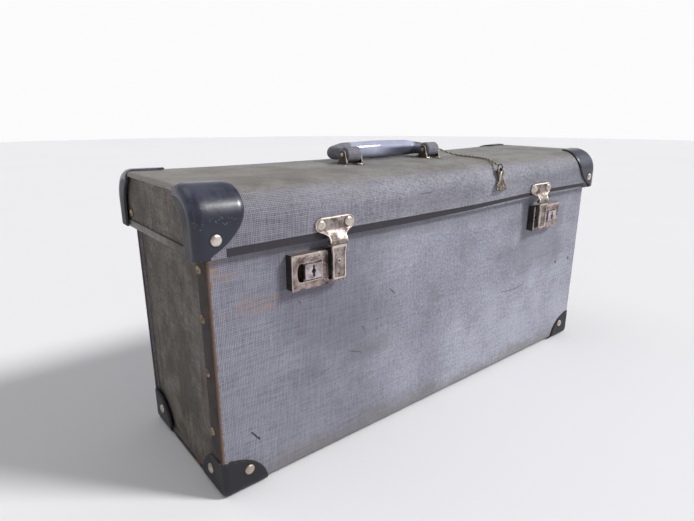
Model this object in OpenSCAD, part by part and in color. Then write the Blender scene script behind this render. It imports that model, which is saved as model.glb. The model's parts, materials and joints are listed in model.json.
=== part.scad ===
// Vulcanised-fibre tool case: a deep body, an overlapping hinged lid, two
// push-button locks with hasps, a folding carrying handle and a lift-out tray.
// Millimetres, +Z up, front faces -Y, origin under the middle of the case at floor level.

/* [Body] */
// Length of the body along X
body_w = 500; // [460:10:540]
// Depth of the body, front to back
body_d = 148; // [140:2:160]
// Height of the body that shows below the lid
body_h = 194; // [180:2:220]
// Thickness of the fibre sheet
wall = 4; // [3:0.5:4.5]
// How far the end panels sit back from the lips of the wrap
panel_recess = 3; // [1.5:0.5:3.5]
// Width of the strip folded round onto each end panel
flap_w = 18; // [14:1:24]

/* [Lid] */
// How far the lid stands out past each end of the body
lid_over_x = 9; // [8:0.5:11]
// How far the lid stands out past the front and back of the body
lid_over_y = 6.6; // [6.4:0.2:8]
// Height of the lid
lid_h = 45; // [42:1:55]
// Radius of the long top edges of the lid
lid_r = 24; // [16:1:28]
// Height of the dark strip along the lower edge of the lid
band_h = 6; // [4:0.5:7]

/* [Corner protectors] */
// Thickness of a corner protector, which is also the height of the feet
cap_t = 1.6; // [1.2:0.2:2]
// Reach of a lid protector along the front
lid_cap_w = 37; // [30:1:44]
// Reach of a bottom protector along the floor
foot_cap_w = 38; // [32:1:44]
// Height of a bottom protector
foot_cap_h = 31; // [26:1:36]

/* [Locks] */
// Distance of the left hasp from the middle of the case
hasp_left_x = 147; // [130:1:160]
// Distance of the right hasp from the middle of the case
hasp_right_x = 141; // [130:1:160]
// Width of a lock case
lock_w = 50; // [46:1:56]
// Height of a lock case
lock_h = 28; // [26:1:32]
// Travel of a lock button
button_travel = 5.5; // [4:0.5:6]

/* [Handle] */
// Place of the middle of the handle, from the middle of the lid
handle_x = -7; // [-10:1:0]
// Distance of each handle bracket from the middle of the handle
bracket_x = 55.5; // [53:0.5:58]
// Height of the handle pivot above the lid
pivot_h = 8.9; // [8.8:0.1:10]
// Reach from the handle pivot to the middle of the grip
grip_reach = 27; // [24:1:32]

/* [Tray] */
// Depth of the tray, top to bottom
tray_h = 34; // [24:1:40]
// Thickness of the tray sides
tray_wall = 3; // [2.5:0.5:4]

/* [Hidden] */

$fn = 48;
eps = 0.01;

// Body, from the floor up
half_w = body_w / 2;
half_d = body_d / 2;
seam_z = cap_t + body_h;
body_r = 6;
rim_rise = 4;
rim_z = seam_z + rim_rise;
panel_x = half_w - panel_recess;
inner_x = panel_x - wall;
inner_y = half_d - wall;
floor_z = cap_t + wall;

// Lid
lid_x = half_w + lid_over_x;
lid_y = half_d + lid_over_y;
lid_top = seam_z + lid_h;
lid_recess = 2;
lid_panel_x = lid_x - lid_recess;
band_x = half_w - 12;
band_set_back = 0.4;
hem_t = 1;

// Collar inside the body that the lid closes over
collar_t = 3;
collar_low = seam_z - 20;
collar_top = seam_z + 14;

// Rivets: heads, then their places in from the ends and faces and up from the floor or seam
rivet_r = 4.2;
rivet_h = 1.8;
tube_rivet_r = 3.4;
tube_rivet_h = 1.2;
tube_bore_r = 1.2;
small_rivet_r = 2;
small_rivet_h = 0.8;
foot_rivet_in = 21;
foot_rivet_up = 18;
foot_end_rivet_in = 20;
foot_end_rivet_up = 17;
flap_rivet_in = 4;
flap_rivets_up = [53, 103, 146, 183];
front_rivets_x = [204, 234];
front_rivets_up = 107;
lid_cap_rivet_in = 13.5;
lid_cap_rivet_up = 13;
lid_end_rivet_y = 57;
lid_end_rivet_up = 12;

// How far the hasp and hinge knuckles stand out from the lid, front and back alike
fitting_reach = 7;

// Hinges at the back
hinge_x = 150;
hinge_w = 60;
leaf_t = 1.5;
hinge_r = 2.6;
hinge_pin_r = 1.2;
hinge_y = lid_y + fitting_reach - hinge_r;
hinge_z = seam_z - 2.4;
running = 0.05;
knuckle_gap = 0.4;
knuckle_w = hinge_w / 3;
hinge_step_z = hinge_z - 4;
hinge_leaf_low = hinge_z - 28;
hinge_leaf_top = seam_z + 22;
hinge_rivet_r = 3.2;
hinge_rivet_h = 1.2;
hinge_rivets_dx = [-20, 0, 20];

// Locks and hasps, drawn about the middle of the hasp
lock_proud = 8.4;
lock_bottom = seam_z - 36;
channel_w = 15;
channel_side = 1.5;
channel_floor = 4.4;
channel_ledge = 3;
lock_case_w = lock_w - channel_w - channel_side;
window_margin = 5.8;
window_w = lock_case_w - 2 * window_margin;
window_h = 13;
window_z = lock_bottom + lock_h / 2 - 0.5;
button_w = window_w - button_travel - 0.6;
button_h = window_h - 0.6;
button_y = -half_d - lock_proud - 0.6;
button_right = -channel_w / 2 - window_margin - 0.3;
button_plate_t = 1.2;
button_plate_over = 3;
keyhole_r = 1.7;
keyhole_slot_w = 1.4;
keyhole_slot_h = 9.2;
lock_face_t = 1.4;
strap_w = 11.4;
strap_t = 1.4;
strap_y = -(lid_y + leaf_t + 1.6);
strap_low = lock_bottom + channel_ledge + 1;
strap_rim_w = 1.4;
strap_rim_h = 0.7;
strap_hole_r = 1;
strap_holes_up = [2.6, 14.6];
staple_w = 4;
staple_up = 9;
hasp_knuckle_r = 2.4;
hasp_axis_y = -(lid_y + fitting_reach - hasp_knuckle_r);
hasp_axis_z = seam_z - 2;
hasp_pin_r = 1;
hasp_rivet_x = 13.3;
hasp_rivet_z = seam_z + 11.5;
hasp_lobe_r = 5.6;
hasp_lug_w = 3.4;
hasp_middle_w = strap_w - 2 * hasp_lug_w - 2 * knuckle_gap;

// Handle
handle_y = 3;
pivot_z = lid_top + pivot_h;
ear_t = 1.5;
ear_r = 4.4;
ear_foot = 6.4;
ear_gap = 17.6;
bracket_base_t = 1;
bracket_tab = 14;
bracket_tab_r = 4.5;
bracket_rivet_r = 2.8;
bracket_rivet_h = 0.8;
knuckle_r = 7.4;
knuckle_len = 16.4;
handle_pin_r = 2;
grip_mid_r = 9.4;
grip_shoulder_x = 44;
grip_shoulder_r = 8.6;
bend_x = bracket_x + 2;
bend_r = 6.8;
arm_r = 6;
grip_z = lid_top + grip_mid_r + 0.4;
grip_y = handle_y + grip_reach;
bend_y = grip_y - 2;
bend_z = grip_z - 0.6;
ball_sides = 32;

// Tray
tray_gap = 1.5;
tray_x = inner_x - collar_t - tray_gap;
tray_y = inner_y - collar_t - tray_gap;
tray_top = seam_z - 4;
tray_low = tray_top - tray_h;
cleat_w = 10;
cleat_h = 8;
divider_t = 3;
divider_top = tray_top - 6;
hand_hole_w = 84;
hand_hole_h = 20;
board_top = divider_top + hand_hole_h + 8;
board_half_w = 84;
cross_x = [-120, 0, 120];

// Key cord: its centre line from the end of the right handle pin, over the lid to the ring
cord_r = 1;
cord_sides = 8;
cord_route = [
    [59.5, 3.0, 249.5], [62.0, 2.9, 249.3], [65.0, 2.3, 248.6], [68.6, 1.0, 247.3],
    [72.4, -1.6, 245.5], [76.0, -5.6, 243.7], [79.0, -11.0, 242.4], [80.8, -17.6, 241.9],
    [81.0, -25.0, 241.8], [79.9, -32.0, 241.8], [78.2, -39.5, 241.8], [76.2, -46.5, 241.8],
    [73.8, -52.5, 241.8], [71.4, -57.5, 241.8], [69.4, -62.0, 241.3], [67.8, -66.4, 240.3],
    [66.5, -70.6, 239.0], [65.4, -74.4, 237.9], [64.7, -77.4, 237.4]
];

// Ring and keys, which lean on the front of the lid
ring_pos = [64.5, -79.6, 235.5];
ring_r = 2.6;
ring_wire_r = 0.6;
key_len = 24;
key_bow_r = 4.6;
key_hole_r = 1.7;
key_t = 0.9;
key_shank_w = 2.6;
key_tooth_h = 1.3;
key_tooth_gap = 0.7;
key_tooth_reach = 1.7;
key_lean = 14;
key_twist = 8;
key_spacing = 1.1;
key_turns = [-17, -1, 17];

// Colours
fibre = [0.55, 0.55, 0.60];
fibre_dark = [0.34, 0.33, 0.31];
cap_colour = [0.20, 0.21, 0.25];
nickel = [0.60, 0.55, 0.55];
brass = [0.66, 0.56, 0.42];
timber = [0.62, 0.48, 0.33];

// Helpers ---------------------------------------------------------------

// Extrudes a shape drawn in Y and Z along X, centred on x = 0
module along_x(len) {
    rotate([90, 0, 90])
    translate([0, 0, -len / 2])
    linear_extrude(len)
    children();
}

// Extrudes a shape drawn in X and Z towards -Y from y
module towards_front(y, depth) {
    translate([0, y, 0])
    rotate([90, 0, 0])
    linear_extrude(depth)
    children();
}

// A block given by its lowest and highest corners
module block(low, high) {
    translate(low)
    cube(high - low);
}

// A rod along X
module rod_x(x, y, z, r, len) {
    translate([x - len / 2, y, z])
    rotate([0, 90, 0])
    cylinder(r = r, h = len);
}

// Outline in Y and Z with both lower corners rounded
module round_bottom(half, low, high, r) {
    translate([-half, low + r])
    square([2 * half, high - low - r]);
    translate([-half + r, low])
    square([2 * (half - r), r + eps]);
    for (side = [-1, 1])
        translate([side * (half - r), low + r])
        circle(r);
}

// The same outline turned over, with both upper corners rounded
module round_top(half, low, high, r) {
    translate([0, low + high])
    mirror([0, 1])
    round_bottom(half, low, high, r);
}

// A domed rivet head standing on z = 0
module rivet_head(r, h) {
    sphere_r = (r * r + h * h) / (2 * h);
    intersection() {
        translate([0, 0, h - sphere_r])
        sphere(sphere_r, $fn = 160);
        cylinder(r = r, h = h, $fn = 96);
    }
}

// A rivet head on a face that points along -Y or +Y
module rivet_on_y(x, y, z, side, r, h) {
    translate([x, y, z])
    rotate([-90 * side, 0, 0])
    rivet_head(r, h);
}

// A rivet head on a face that points along -X or +X
module rivet_on_x(x, y, z, side, r, h) {
    translate([x, y, z])
    rotate([0, 90 * side, 0])
    rivet_head(r, h);
}

// A tubular rivet with an open middle, on an end face
module tube_rivet_on_x(x, y, z, side) {
    translate([x, y, z])
    rotate([0, 90 * side, 0])
    difference() {
        rivet_head(tube_rivet_r, tube_rivet_h);
        translate([0, 0, tube_rivet_h / 3])
        cylinder(r = tube_bore_r, h = tube_rivet_h);
    }
}

// Body ------------------------------------------------------------------

module body_wrap() {
    color(fibre) {
        along_x(body_w)
        difference() {
            round_bottom(half_d, cap_t, rim_z, body_r);
            round_bottom(half_d - wall, floor_z, rim_z + 1, body_r - wall / 2);
        }
        for (side = [-1, 1])
            mirror([side < 0 ? 1 : 0, 0, 0])
            block([panel_x, -half_d + wall - eps, floor_z + 2],
                  [half_w, -half_d + flap_w, seam_z - 0.5]);
    }
}

module body_end() {
    color(fibre_dark)
    translate([panel_x - wall / 2, 0, 0])
    along_x(wall)
    round_bottom(half_d - wall, floor_z, rim_z, body_r - wall / 2);
}

module inner_collar() {
    color(timber)
    difference() {
        block([-inner_x, -inner_y, collar_low], [inner_x, inner_y, collar_top]);
        block([-inner_x + collar_t, -inner_y + collar_t, collar_low - 1],
              [inner_x - collar_t, inner_y - collar_t, collar_top + 1]);
    }
}

module tray_cleat() {
    color(timber)
    block([inner_x - cleat_w, -inner_y, tray_low - cleat_h], [inner_x, inner_y, tray_low]);
}

// Quarter of an ellipse in the first quadrant
module quarter_oval(w, h, t) {
    polygon(concat([[-t, -t], [w, -t]],
                   [for (a = [0:10:80]) [w * cos(a), h * sin(a)]],
                   [[-t, h]]));
}

// Cup over one lower corner, drawn for the corner at +X, -Y: a shell bent round the
// long bottom edge, cut to an oval on the front and underneath, and a flap on the end
module foot_cap() {
    shell_len = foot_cap_w + 2 * cap_t;
    color(cap_colour) {
        intersection() {
            translate([half_w + cap_t - shell_len / 2, 0, 0])
            difference() {
                along_x(shell_len)
                round_bottom(half_d + cap_t, 0, seam_z, body_r + cap_t);
                along_x(shell_len + 2)
                round_bottom(half_d, cap_t, seam_z + 1, body_r);
            }
            translate([half_w, -half_d, cap_t])
            union() {
                translate([0, body_r, 0])
                rotate([90, 0, 0])
                mirror([1, 0])
                linear_extrude(body_r + 2 * cap_t)
                quarter_oval(foot_cap_w, foot_cap_h, cap_t);
                translate([0, 0, -cap_t])
                mirror([1, 0])
                linear_extrude(body_r + cap_t)
                quarter_oval(foot_cap_w, foot_cap_w, cap_t);
            }
        }
        intersection() {
            translate([half_w, -half_d, cap_t])
            rotate([90, 0, 90])
            linear_extrude(cap_t)
            quarter_oval(foot_cap_w, foot_cap_h, cap_t);
            along_x(body_w + 4 * cap_t)
            round_bottom(half_d + cap_t, 0, seam_z, body_r + cap_t);
        }
    }
}

module foot_cap_rivets() {
    color(brass)
    for (sx = [-1, 1])
        for (sy = [-1, 1]) {
            rivet_on_y(sx * (half_w - foot_rivet_in), sy * (half_d + cap_t), cap_t + foot_rivet_up,
                       sy, rivet_r, rivet_h);
            rivet_on_x(sx * (half_w + cap_t), sy * (half_d - foot_end_rivet_in),
                       cap_t + foot_end_rivet_up, sx, rivet_r, rivet_h);
        }
}

module body_end_rivets() {
    color(brass)
    for (side = [-1, 1])
        for (up = flap_rivets_up)
            tube_rivet_on_x(side * half_w, -half_d + flap_w - flap_rivet_in, cap_t + up, side);
}

module body_front_rivets() {
    color(nickel)
    for (x = front_rivets_x)
        rivet_on_y(x, -half_d, cap_t + front_rivets_up, -1, small_rivet_r, small_rivet_h);
}

// Locks -------------------------------------------------------------------

// Lock case drawn about x = 0 at the middle of the hasp, with the button towards -X
module lock_case() {
    case_right = channel_w / 2 + channel_side;
    case_left = case_right - lock_w;
    cover_right = -channel_w / 2;
    window_left = case_left + window_margin;
    color(nickel)
    difference() {
        block([case_left, -half_d - lock_proud, lock_bottom], [case_right, -half_d, lock_bottom + lock_h]);
        block([cover_right, -half_d - lock_proud - 1, lock_bottom + channel_ledge],
              [channel_w / 2, -half_d - channel_floor, lock_bottom + lock_h + 1]);
        block([case_left + lock_face_t, -half_d - lock_proud + lock_face_t, lock_bottom + lock_face_t],
              [cover_right - lock_face_t, -half_d - lock_face_t, lock_bottom + lock_h - lock_face_t]);
        block([window_left, -half_d - lock_proud - 1, window_z - window_h / 2],
              [window_left + window_w, -half_d - lock_face_t, window_z + window_h / 2]);
    }
}

// Button with its slide plate behind the face of the case
module lock_button() {
    plate_y = -half_d - lock_proud + lock_face_t + 0.3;
    color(nickel)
    difference() {
        union() {
            block([button_right - button_w, button_y, window_z - button_h / 2],
                  [button_right, plate_y + button_plate_t, window_z + button_h / 2]);
            block([button_right - button_w, plate_y, window_z - button_h / 2 - button_plate_over],
                  [button_right + button_plate_over, plate_y + button_plate_t,
                   window_z + button_h / 2 + button_plate_over]);
        }
        translate([button_right - button_w / 2, plate_y, window_z])
        rotate([90, 0, 0])
        cylinder(r = keyhole_r, h = lock_proud);
        block([button_right - (button_w + keyhole_slot_w) / 2, button_y - 1,
               window_z - keyhole_slot_h / 2],
              [button_right - (button_w - keyhole_slot_w) / 2, plate_y,
               window_z + keyhole_slot_h / 2]);
    }
}

// Hasps -------------------------------------------------------------------

module hasp_bore() {
    rod_x(0, hasp_axis_y, hasp_axis_z, hasp_pin_r, strap_w + 4);
}

// Fixed plate on the lid front: two riveted lobes, a hood and two knuckles
module hasp_plate() {
    hood_w = strap_w + 3;
    color(nickel)
    difference() {
        union() {
            towards_front(-lid_y, leaf_t) {
                for (side = [-1, 1])
                    translate([side * hasp_rivet_x, hasp_rivet_z])
                    circle(hasp_lobe_r);
                translate([-hasp_rivet_x, hasp_rivet_z - 4.2])
                square([2 * hasp_rivet_x, 8.8]);
                translate([-hood_w / 2, seam_z + 2])
                square([hood_w, 8]);
            }
            for (side = [-1, 1])
                translate([side * (strap_w - hasp_lug_w) / 2, 0, 0])
                along_x(hasp_lug_w)
                hasp_lug();
        }
        hasp_bore();
    }
}

// Side view of a lug that carries the hasp pin clear of the lid
module hasp_lug() {
    translate([hasp_axis_y, hasp_axis_z])
    circle(hasp_knuckle_r);
    polygon([
        [-lid_y - leaf_t, seam_z + 9],
        [-lid_y - leaf_t, seam_z + 2],
        [hasp_axis_y + hasp_knuckle_r - 0.4, hasp_axis_z],
        [hasp_axis_y - hasp_knuckle_r, hasp_axis_z],
        [hasp_axis_y - hasp_knuckle_r, seam_z + 3]
    ]);
}

// Swinging strap that hangs in the channel of the lock case
module hasp_strap() {
    color(nickel)
    difference() {
        union() {
            along_x(hasp_middle_w)
            union() {
                translate([hasp_axis_y, hasp_axis_z])
                circle(hasp_knuckle_r - 0.2);
                translate([strap_y - strap_t, hasp_axis_z - 5])
                square([strap_t, 5]);
            }
            block([-strap_w / 2, strap_y - strap_t, strap_low], [strap_w / 2, strap_y, hasp_axis_z - 3.2]);
            for (x = [-strap_w / 2, strap_w / 2 - strap_rim_w])
                block([x, strap_y - strap_t - strap_rim_h, strap_low],
                      [x + strap_rim_w, strap_y - strap_t, hasp_axis_z - 3.2]);
            block([-staple_w / 2, strap_y - eps, strap_low + staple_up],
                  [staple_w / 2, -half_d - channel_floor - 0.6, strap_low + staple_up + staple_w]);
        }
        rod_x(0, hasp_axis_y, hasp_axis_z, hasp_pin_r + running, strap_w);
        for (up = strap_holes_up)
            towards_front(strap_y + 1, 4)
            translate([0, strap_low + up])
            circle(strap_hole_r);
    }
}

module hasp_pin() {
    color(nickel)
    rod_x(0, hasp_axis_y, hasp_axis_z, hasp_pin_r, strap_w);
}

module hasp_rivets() {
    color(nickel)
    for (x = [-hasp_left_x, hasp_right_x])
        for (side = [-1, 1])
            rivet_on_y(x + side * hasp_rivet_x, -lid_y - leaf_t, hasp_rivet_z, -1, rivet_r, rivet_h);
}

// Hinges --------------------------------------------------------------------

// Leaf on the body: a plate, a step out past the lid's edge and two outer knuckles
module hinge_body_leaf() {
    color(nickel)
    difference() {
        union() {
            block([-hinge_w / 2, half_d, hinge_leaf_low], [hinge_w / 2, half_d + leaf_t, hinge_step_z]);
            block([-hinge_w / 2, half_d, hinge_step_z - leaf_t],
                  [hinge_w / 2, hinge_y + hinge_r, hinge_step_z]);
            for (side = [-1, 1])
                translate([side * (hinge_w - knuckle_w) / 2, 0, 0])
                along_x(knuckle_w - knuckle_gap)
                union() {
                    translate([hinge_y, hinge_z])
                    circle(hinge_r);
                    translate([hinge_y + hinge_r - leaf_t, hinge_z - 5])
                    square([leaf_t, 5]);
                }
        }
        rod_x(0, hinge_y, hinge_z, hinge_pin_r, hinge_w + 2);
    }
}

// Leaf on the lid: a plate and the middle knuckle
module hinge_lid_leaf() {
    color(nickel)
    difference() {
        union() {
            block([-hinge_w / 2, lid_y, seam_z + 1.5], [hinge_w / 2, lid_y + leaf_t, hinge_leaf_top]);
            along_x(knuckle_w - knuckle_gap)
            union() {
                translate([hinge_y, hinge_z])
                circle(hinge_r);
                translate([lid_y, hinge_z + hinge_r - leaf_t])
                square([hinge_y - lid_y, leaf_t]);
                translate([lid_y, hinge_z + hinge_r - leaf_t])
                square([leaf_t, 4]);
            }
        }
        rod_x(0, hinge_y, hinge_z, hinge_pin_r + running, hinge_w + 2);
    }
}

module hinge_pin() {
    color(nickel)
    rod_x(0, hinge_y, hinge_z, hinge_pin_r, hinge_w);
}

module hinge_rivets(y, z) {
    color(nickel)
    for (hx = [-hinge_x, hinge_x])
        for (dx = hinge_rivets_dx)
            rivet_on_y(hx + dx, y, z, 1, hinge_rivet_r, hinge_rivet_h);
}

// Lid -------------------------------------------------------------------------

module lid_wrap() {
    color(fibre)
    difference() {
        along_x(2 * lid_x)
        difference() {
            round_top(lid_y, seam_z, lid_top, lid_r);
            round_top(lid_y - wall, seam_z - 10, lid_top - wall, lid_r - wall);
        }
        block([-band_x, -lid_y - 1, seam_z - 1], [band_x, -lid_y + wall + 1, seam_z + band_h]);
    }
}

module lid_end() {
    color(fibre_dark)
    translate([lid_panel_x - wall / 2, 0, 0])
    along_x(wall)
    round_top(lid_y - wall, seam_z, lid_top - wall, lid_r - wall);
}

module lid_band_front() {
    color(cap_colour)
    block([-band_x, -lid_y + band_set_back, seam_z], [band_x, -lid_y + wall, seam_z + band_h]);
}

module lid_hem() {
    color(fibre)
    block([lid_panel_x, -lid_y + wall, seam_z], [lid_panel_x + hem_t, lid_y - wall, seam_z + band_h]);
}

// Outline of a lid protector in X and Z, measured inwards from the end of the lid:
// a drooping curve below its widest point and a round corner above it
module lid_cap_outline() {
    widest = lid_h - 10;
    corner = lid_h + cap_t - widest;
    droop = 1.4;
    polygon(concat(
        [[-cap_t - 1, 0]],
        [for (a = [85:-5:0]) [lid_cap_w * pow(cos(a), droop), widest * (1 - sin(a))]],
        [for (a = [10:10:90]) [lid_cap_w - corner + corner * cos(a), widest + corner * sin(a)]],
        [[-cap_t - 1, lid_h + cap_t]]
    ));
}

// Outline of the end flap of a lid protector, measured inwards from the lid front
module lid_cap_end_outline() {
    flap = 17.5;
    flare = 14.5;
    polygon(concat(
        [[-cap_t, 0]],
        [for (v = [0:0.1:1]) [flap + flare * pow(v, 4), v * (lid_h + cap_t)]],
        [[-cap_t, lid_h + cap_t]]
    ));
}

// Cap over one upper corner of the lid, drawn for the corner at +X, -Y
module lid_cap() {
    color(cap_colour)
    intersection() {
        difference() {
            translate([lid_x - 50 + cap_t / 2, 0, 0])
            along_x(100 + cap_t)
            round_top(lid_y + cap_t, seam_z, lid_top + cap_t, lid_r + cap_t);
            translate([lid_x - 60, 0, 0])
            along_x(120)
            round_top(lid_y, seam_z - 1, lid_top, lid_r);
        }
        translate([lid_x, 0, seam_z])
        rotate([90, 0, 0])
        mirror([1, 0])
        linear_extrude(lid_y + 5)
        lid_cap_outline();
        block([0, -lid_y - 5, seam_z], [lid_x + cap_t, -lid_y + lid_r + 6, lid_top + cap_t]);
    }
    color(cap_colour)
    intersection() {
        translate([lid_x + cap_t / 2, 0, 0])
        along_x(cap_t)
        round_top(lid_y + cap_t, seam_z, lid_top + cap_t, lid_r + cap_t);
        translate([lid_x, -lid_y, seam_z])
        rotate([90, 0, 90])
        linear_extrude(cap_t)
        lid_cap_end_outline();
    }
}

module lid_cap_rivets() {
    color(brass)
    for (sx = [-1, 1])
        for (sy = [-1, 1])
            rivet_on_y(sx * (lid_x - lid_cap_rivet_in), sy * (lid_y + cap_t),
                       seam_z + lid_cap_rivet_up, sy, rivet_r, rivet_h);
}

module lid_end_rivets() {
    color(brass)
    for (sx = [-1, 1])
        for (y = [-lid_end_rivet_y, lid_end_rivet_y])
            tube_rivet_on_x(sx * lid_panel_x, y, seam_z + lid_end_rivet_up, sx);
}

// Handle ------------------------------------------------------------------------

// Bracket drawn about x = 0: a base with a riveted tab front and back, and two ears
module handle_bracket() {
    base_x = ear_gap / 2 + ear_t;
    color(nickel)
    difference() {
        union() {
            block([-base_x, handle_y - 8, lid_top], [base_x, handle_y + 8, lid_top + bracket_base_t]);
            for (side = [-1, 1]) {
                translate([0, handle_y + side * bracket_tab, lid_top])
                cylinder(r = bracket_tab_r, h = bracket_base_t);
                block([-bracket_tab_r, handle_y + side * bracket_tab / 2 - 7, lid_top],
                      [bracket_tab_r, handle_y + side * bracket_tab / 2 + 7, lid_top + bracket_base_t]);
                translate([side * (ear_gap + ear_t) / 2, 0, 0])
                along_x(ear_t)
                hull() {
                    translate([handle_y, pivot_z])
                    circle(ear_r);
                    translate([handle_y - ear_foot, lid_top])
                    square([2 * ear_foot, bracket_base_t + 1]);
                }
            }
        }
        rod_x(0, handle_y, pivot_z, handle_pin_r, ear_gap + 8);
    }
}

module handle_rivets() {
    color(brass)
    for (x = [handle_x - bracket_x, handle_x + bracket_x])
        for (side = [-1, 1])
            translate([x, handle_y + side * bracket_tab, lid_top + bracket_base_t])
            rivet_head(bracket_rivet_r, bracket_rivet_h);
}

module handle_pin() {
    color(brass)
    rod_x(0, handle_y, pivot_z, handle_pin_r, ear_gap + 2 * ear_t + 2);
}

// Eye at each end of the handle, turning on the pin between the ears
module handle_knuckle() {
    color([0.56, 0.56, 0.60])
    difference() {
        rod_x(0, handle_y, pivot_z, knuckle_r, knuckle_len);
        rod_x(0, handle_y, pivot_z, handle_pin_r + running, knuckle_len + 2);
    }
}

module ball(x, y, z, r) {
    translate([x, y, z])
    sphere(r, $fn = ball_sides);
}

// Spindle-shaped grip with a bend and an arm at each end, reaching back from the eyes
module handle_grip() {
    color([0.69, 0.71, 0.78])
    union() {
        hull() {
            ball(0, grip_y, grip_z, grip_mid_r);
            for (side = [-1, 1])
                ball(side * grip_shoulder_x, grip_y, grip_z, grip_shoulder_r);
        }
        for (side = [-1, 1]) {
            hull() {
                ball(side * grip_shoulder_x, grip_y, grip_z, grip_shoulder_r);
                ball(side * bend_x, bend_y, bend_z, bend_r);
            }
            difference() {
                hull() {
                    ball(side * bend_x, bend_y, bend_z, bend_r);
                    ball(side * bracket_x, handle_y + 4, pivot_z, arm_r);
                }
                rod_x(side * bracket_x, handle_y, pivot_z, knuckle_r, 60);
            }
        }
    }
}

// Keys ----------------------------------------------------------------------------

function unit(v) = v / norm(v);
function route_dir(path, i) =
    unit(path[min(i + 1, len(path) - 1)] - path[max(i - 1, 0)]);
function side_dir(dir) = unit(cross(dir, [0, 0.31, 0.95]));

// Tube swept along a list of points
module tube(path, r, sides) {
    rings = [
        for (i = [0:len(path) - 1])
            let (dir = route_dir(path, i), u = side_dir(dir), v = cross(u, dir))
                for (k = [0:sides - 1])
                    path[i] + r * (cos(360 * k / sides) * u + sin(360 * k / sides) * v)
    ];
    last = (len(path) - 1) * sides;
    walls = [
        for (i = [0:len(path) - 2])
            for (k = [0:sides - 1])
                let (a = i * sides + k, b = i * sides + (k + 1) % sides)
                    [a, b, b + sides, a + sides]
    ];
    caps = [[for (k = [sides - 1:-1:0]) k], [for (k = [0:sides - 1]) last + k]];
    polyhedron(points = rings, faces = concat(walls, caps), convexity = 6);
}

module key_cord() {
    color(brass)
    tube(cord_route, cord_r, cord_sides);
}

module key_ring() {
    color(nickel)
    translate(ring_pos)
    rotate([0, 90, 0])
    rotate_extrude()
    translate([ring_r, 0])
    circle(ring_wire_r, $fn = 16);
}

// One flat key hanging from the middle of its hole: bow, shank and bit
module key() {
    bow_z = 2 - key_bow_r;
    tip_z = bow_z + key_bow_r - key_len;
    translate([0, key_t / 2, 0])
    rotate([90, 0, 0])
    difference() {
        linear_extrude(key_t)
        union() {
            translate([0, bow_z])
            circle(key_bow_r);
            translate([-key_shank_w / 2, tip_z])
            square([key_shank_w, key_len - key_bow_r]);
            for (k = [0:3])
                translate([-key_shank_w / 2 - key_tooth_reach,
                           tip_z + 0.6 + k * (key_tooth_h + key_tooth_gap)])
                square([key_shank_w + 2 * key_tooth_reach - k % 2, key_tooth_h]);
        }
        translate([0, 0, -1])
        cylinder(r = key_hole_r, h = key_t + 2);
    }
}

module keys() {
    color(nickel)
    translate([ring_pos[0], ring_pos[1], ring_pos[2] - ring_r])
    for (i = [0:len(key_turns) - 1])
        translate([0, (1 - i) * key_spacing, 0])
        rotate([-key_lean, 0, -key_twist])
        rotate([0, key_turns[i], 0])
        key();
}

// Tray ------------------------------------------------------------------------------

module tray_shell() {
    color(timber)
    difference() {
        block([-tray_x, -tray_y, tray_low + 0.3], [tray_x, tray_y, tray_top]);
        block([-tray_x + tray_wall, -tray_y + tray_wall, tray_low + tray_wall],
              [tray_x - tray_wall, tray_y - tray_wall, tray_top + 1]);
    }
}

// Lengthwise board with a hand hole, which lifts the tray
module tray_long_divider() {
    color(timber)
    difference() {
        union() {
            block([-tray_x + tray_wall, -divider_t / 2, tray_low + tray_wall],
                  [tray_x - tray_wall, divider_t / 2, divider_top]);
            block([-board_half_w, -divider_t / 2, tray_low + tray_wall],
                  [board_half_w, divider_t / 2, board_top]);
        }
        towards_front(divider_t, 2 * divider_t)
        translate([0, divider_top + hand_hole_h / 2])
        union() {
            square([hand_hole_w - hand_hole_h, hand_hole_h], center = true);
            for (side = [-1, 1])
                translate([side * (hand_hole_w - hand_hole_h) / 2, 0])
                circle(hand_hole_h / 2);
        }
    }
}

module tray_cross_dividers() {
    color(timber)
    for (x = cross_x)
        block([x - divider_t / 2, -tray_y + tray_wall, tray_low + tray_wall],
              [x + divider_t / 2, -divider_t / 2, divider_top]);
}

// Places --------------------------------------------------------------------------------

// Copies a part that is drawn at the +X side to the -X side
module left() {
    mirror([1, 0, 0])
    children();
}

// Copies a part that is drawn at the front to the back
module back() {
    mirror([0, 1, 0])
    children();
}

module at_left_hasp() {
    translate([-hasp_left_x, 0, 0])
    children();
}

module at_right_hasp() {
    translate([hasp_right_x, 0, 0])
    mirror([1, 0, 0])
    children();
}

// The right button stands at the outer end of its window
module right_button_place() {
    at_right_hasp()
    translate([-button_travel, 0, 0])
    children();
}

module at_x(x) {
    translate([x, 0, 0])
    children();
}

body_wrap();
left() body_end();  // body_end_left
body_end();  // body_end_right
inner_collar();
left() tray_cleat();  // tray_cleat_left
tray_cleat();  // tray_cleat_right
left() foot_cap();  // foot_cap_front_left
foot_cap();  // foot_cap_front_right
left() back() foot_cap();  // foot_cap_back_left
back() foot_cap();  // foot_cap_back_right
foot_cap_rivets();
body_end_rivets();
body_front_rivets();
at_left_hasp() lock_case();  // lock_case_left
at_right_hasp() lock_case();  // lock_case_right
at_left_hasp() lock_button();  // lock_button_left
right_button_place() lock_button();  // lock_button_right
at_x(-hinge_x) hinge_body_leaf();  // hinge_body_leaf_left
at_x(hinge_x) hinge_body_leaf();  // hinge_body_leaf_right
at_x(-hinge_x) hinge_pin();  // hinge_pin_left
at_x(hinge_x) hinge_pin();  // hinge_pin_right
hinge_rivets(half_d + leaf_t, hinge_z - 18);  // hinge_body_rivets
lid_wrap();
left() lid_end();  // lid_end_left
lid_end();  // lid_end_right
lid_band_front();
left() lid_hem();  // lid_hem_left
lid_hem();  // lid_hem_right
left() lid_cap();  // lid_cap_front_left
lid_cap();  // lid_cap_front_right
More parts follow.
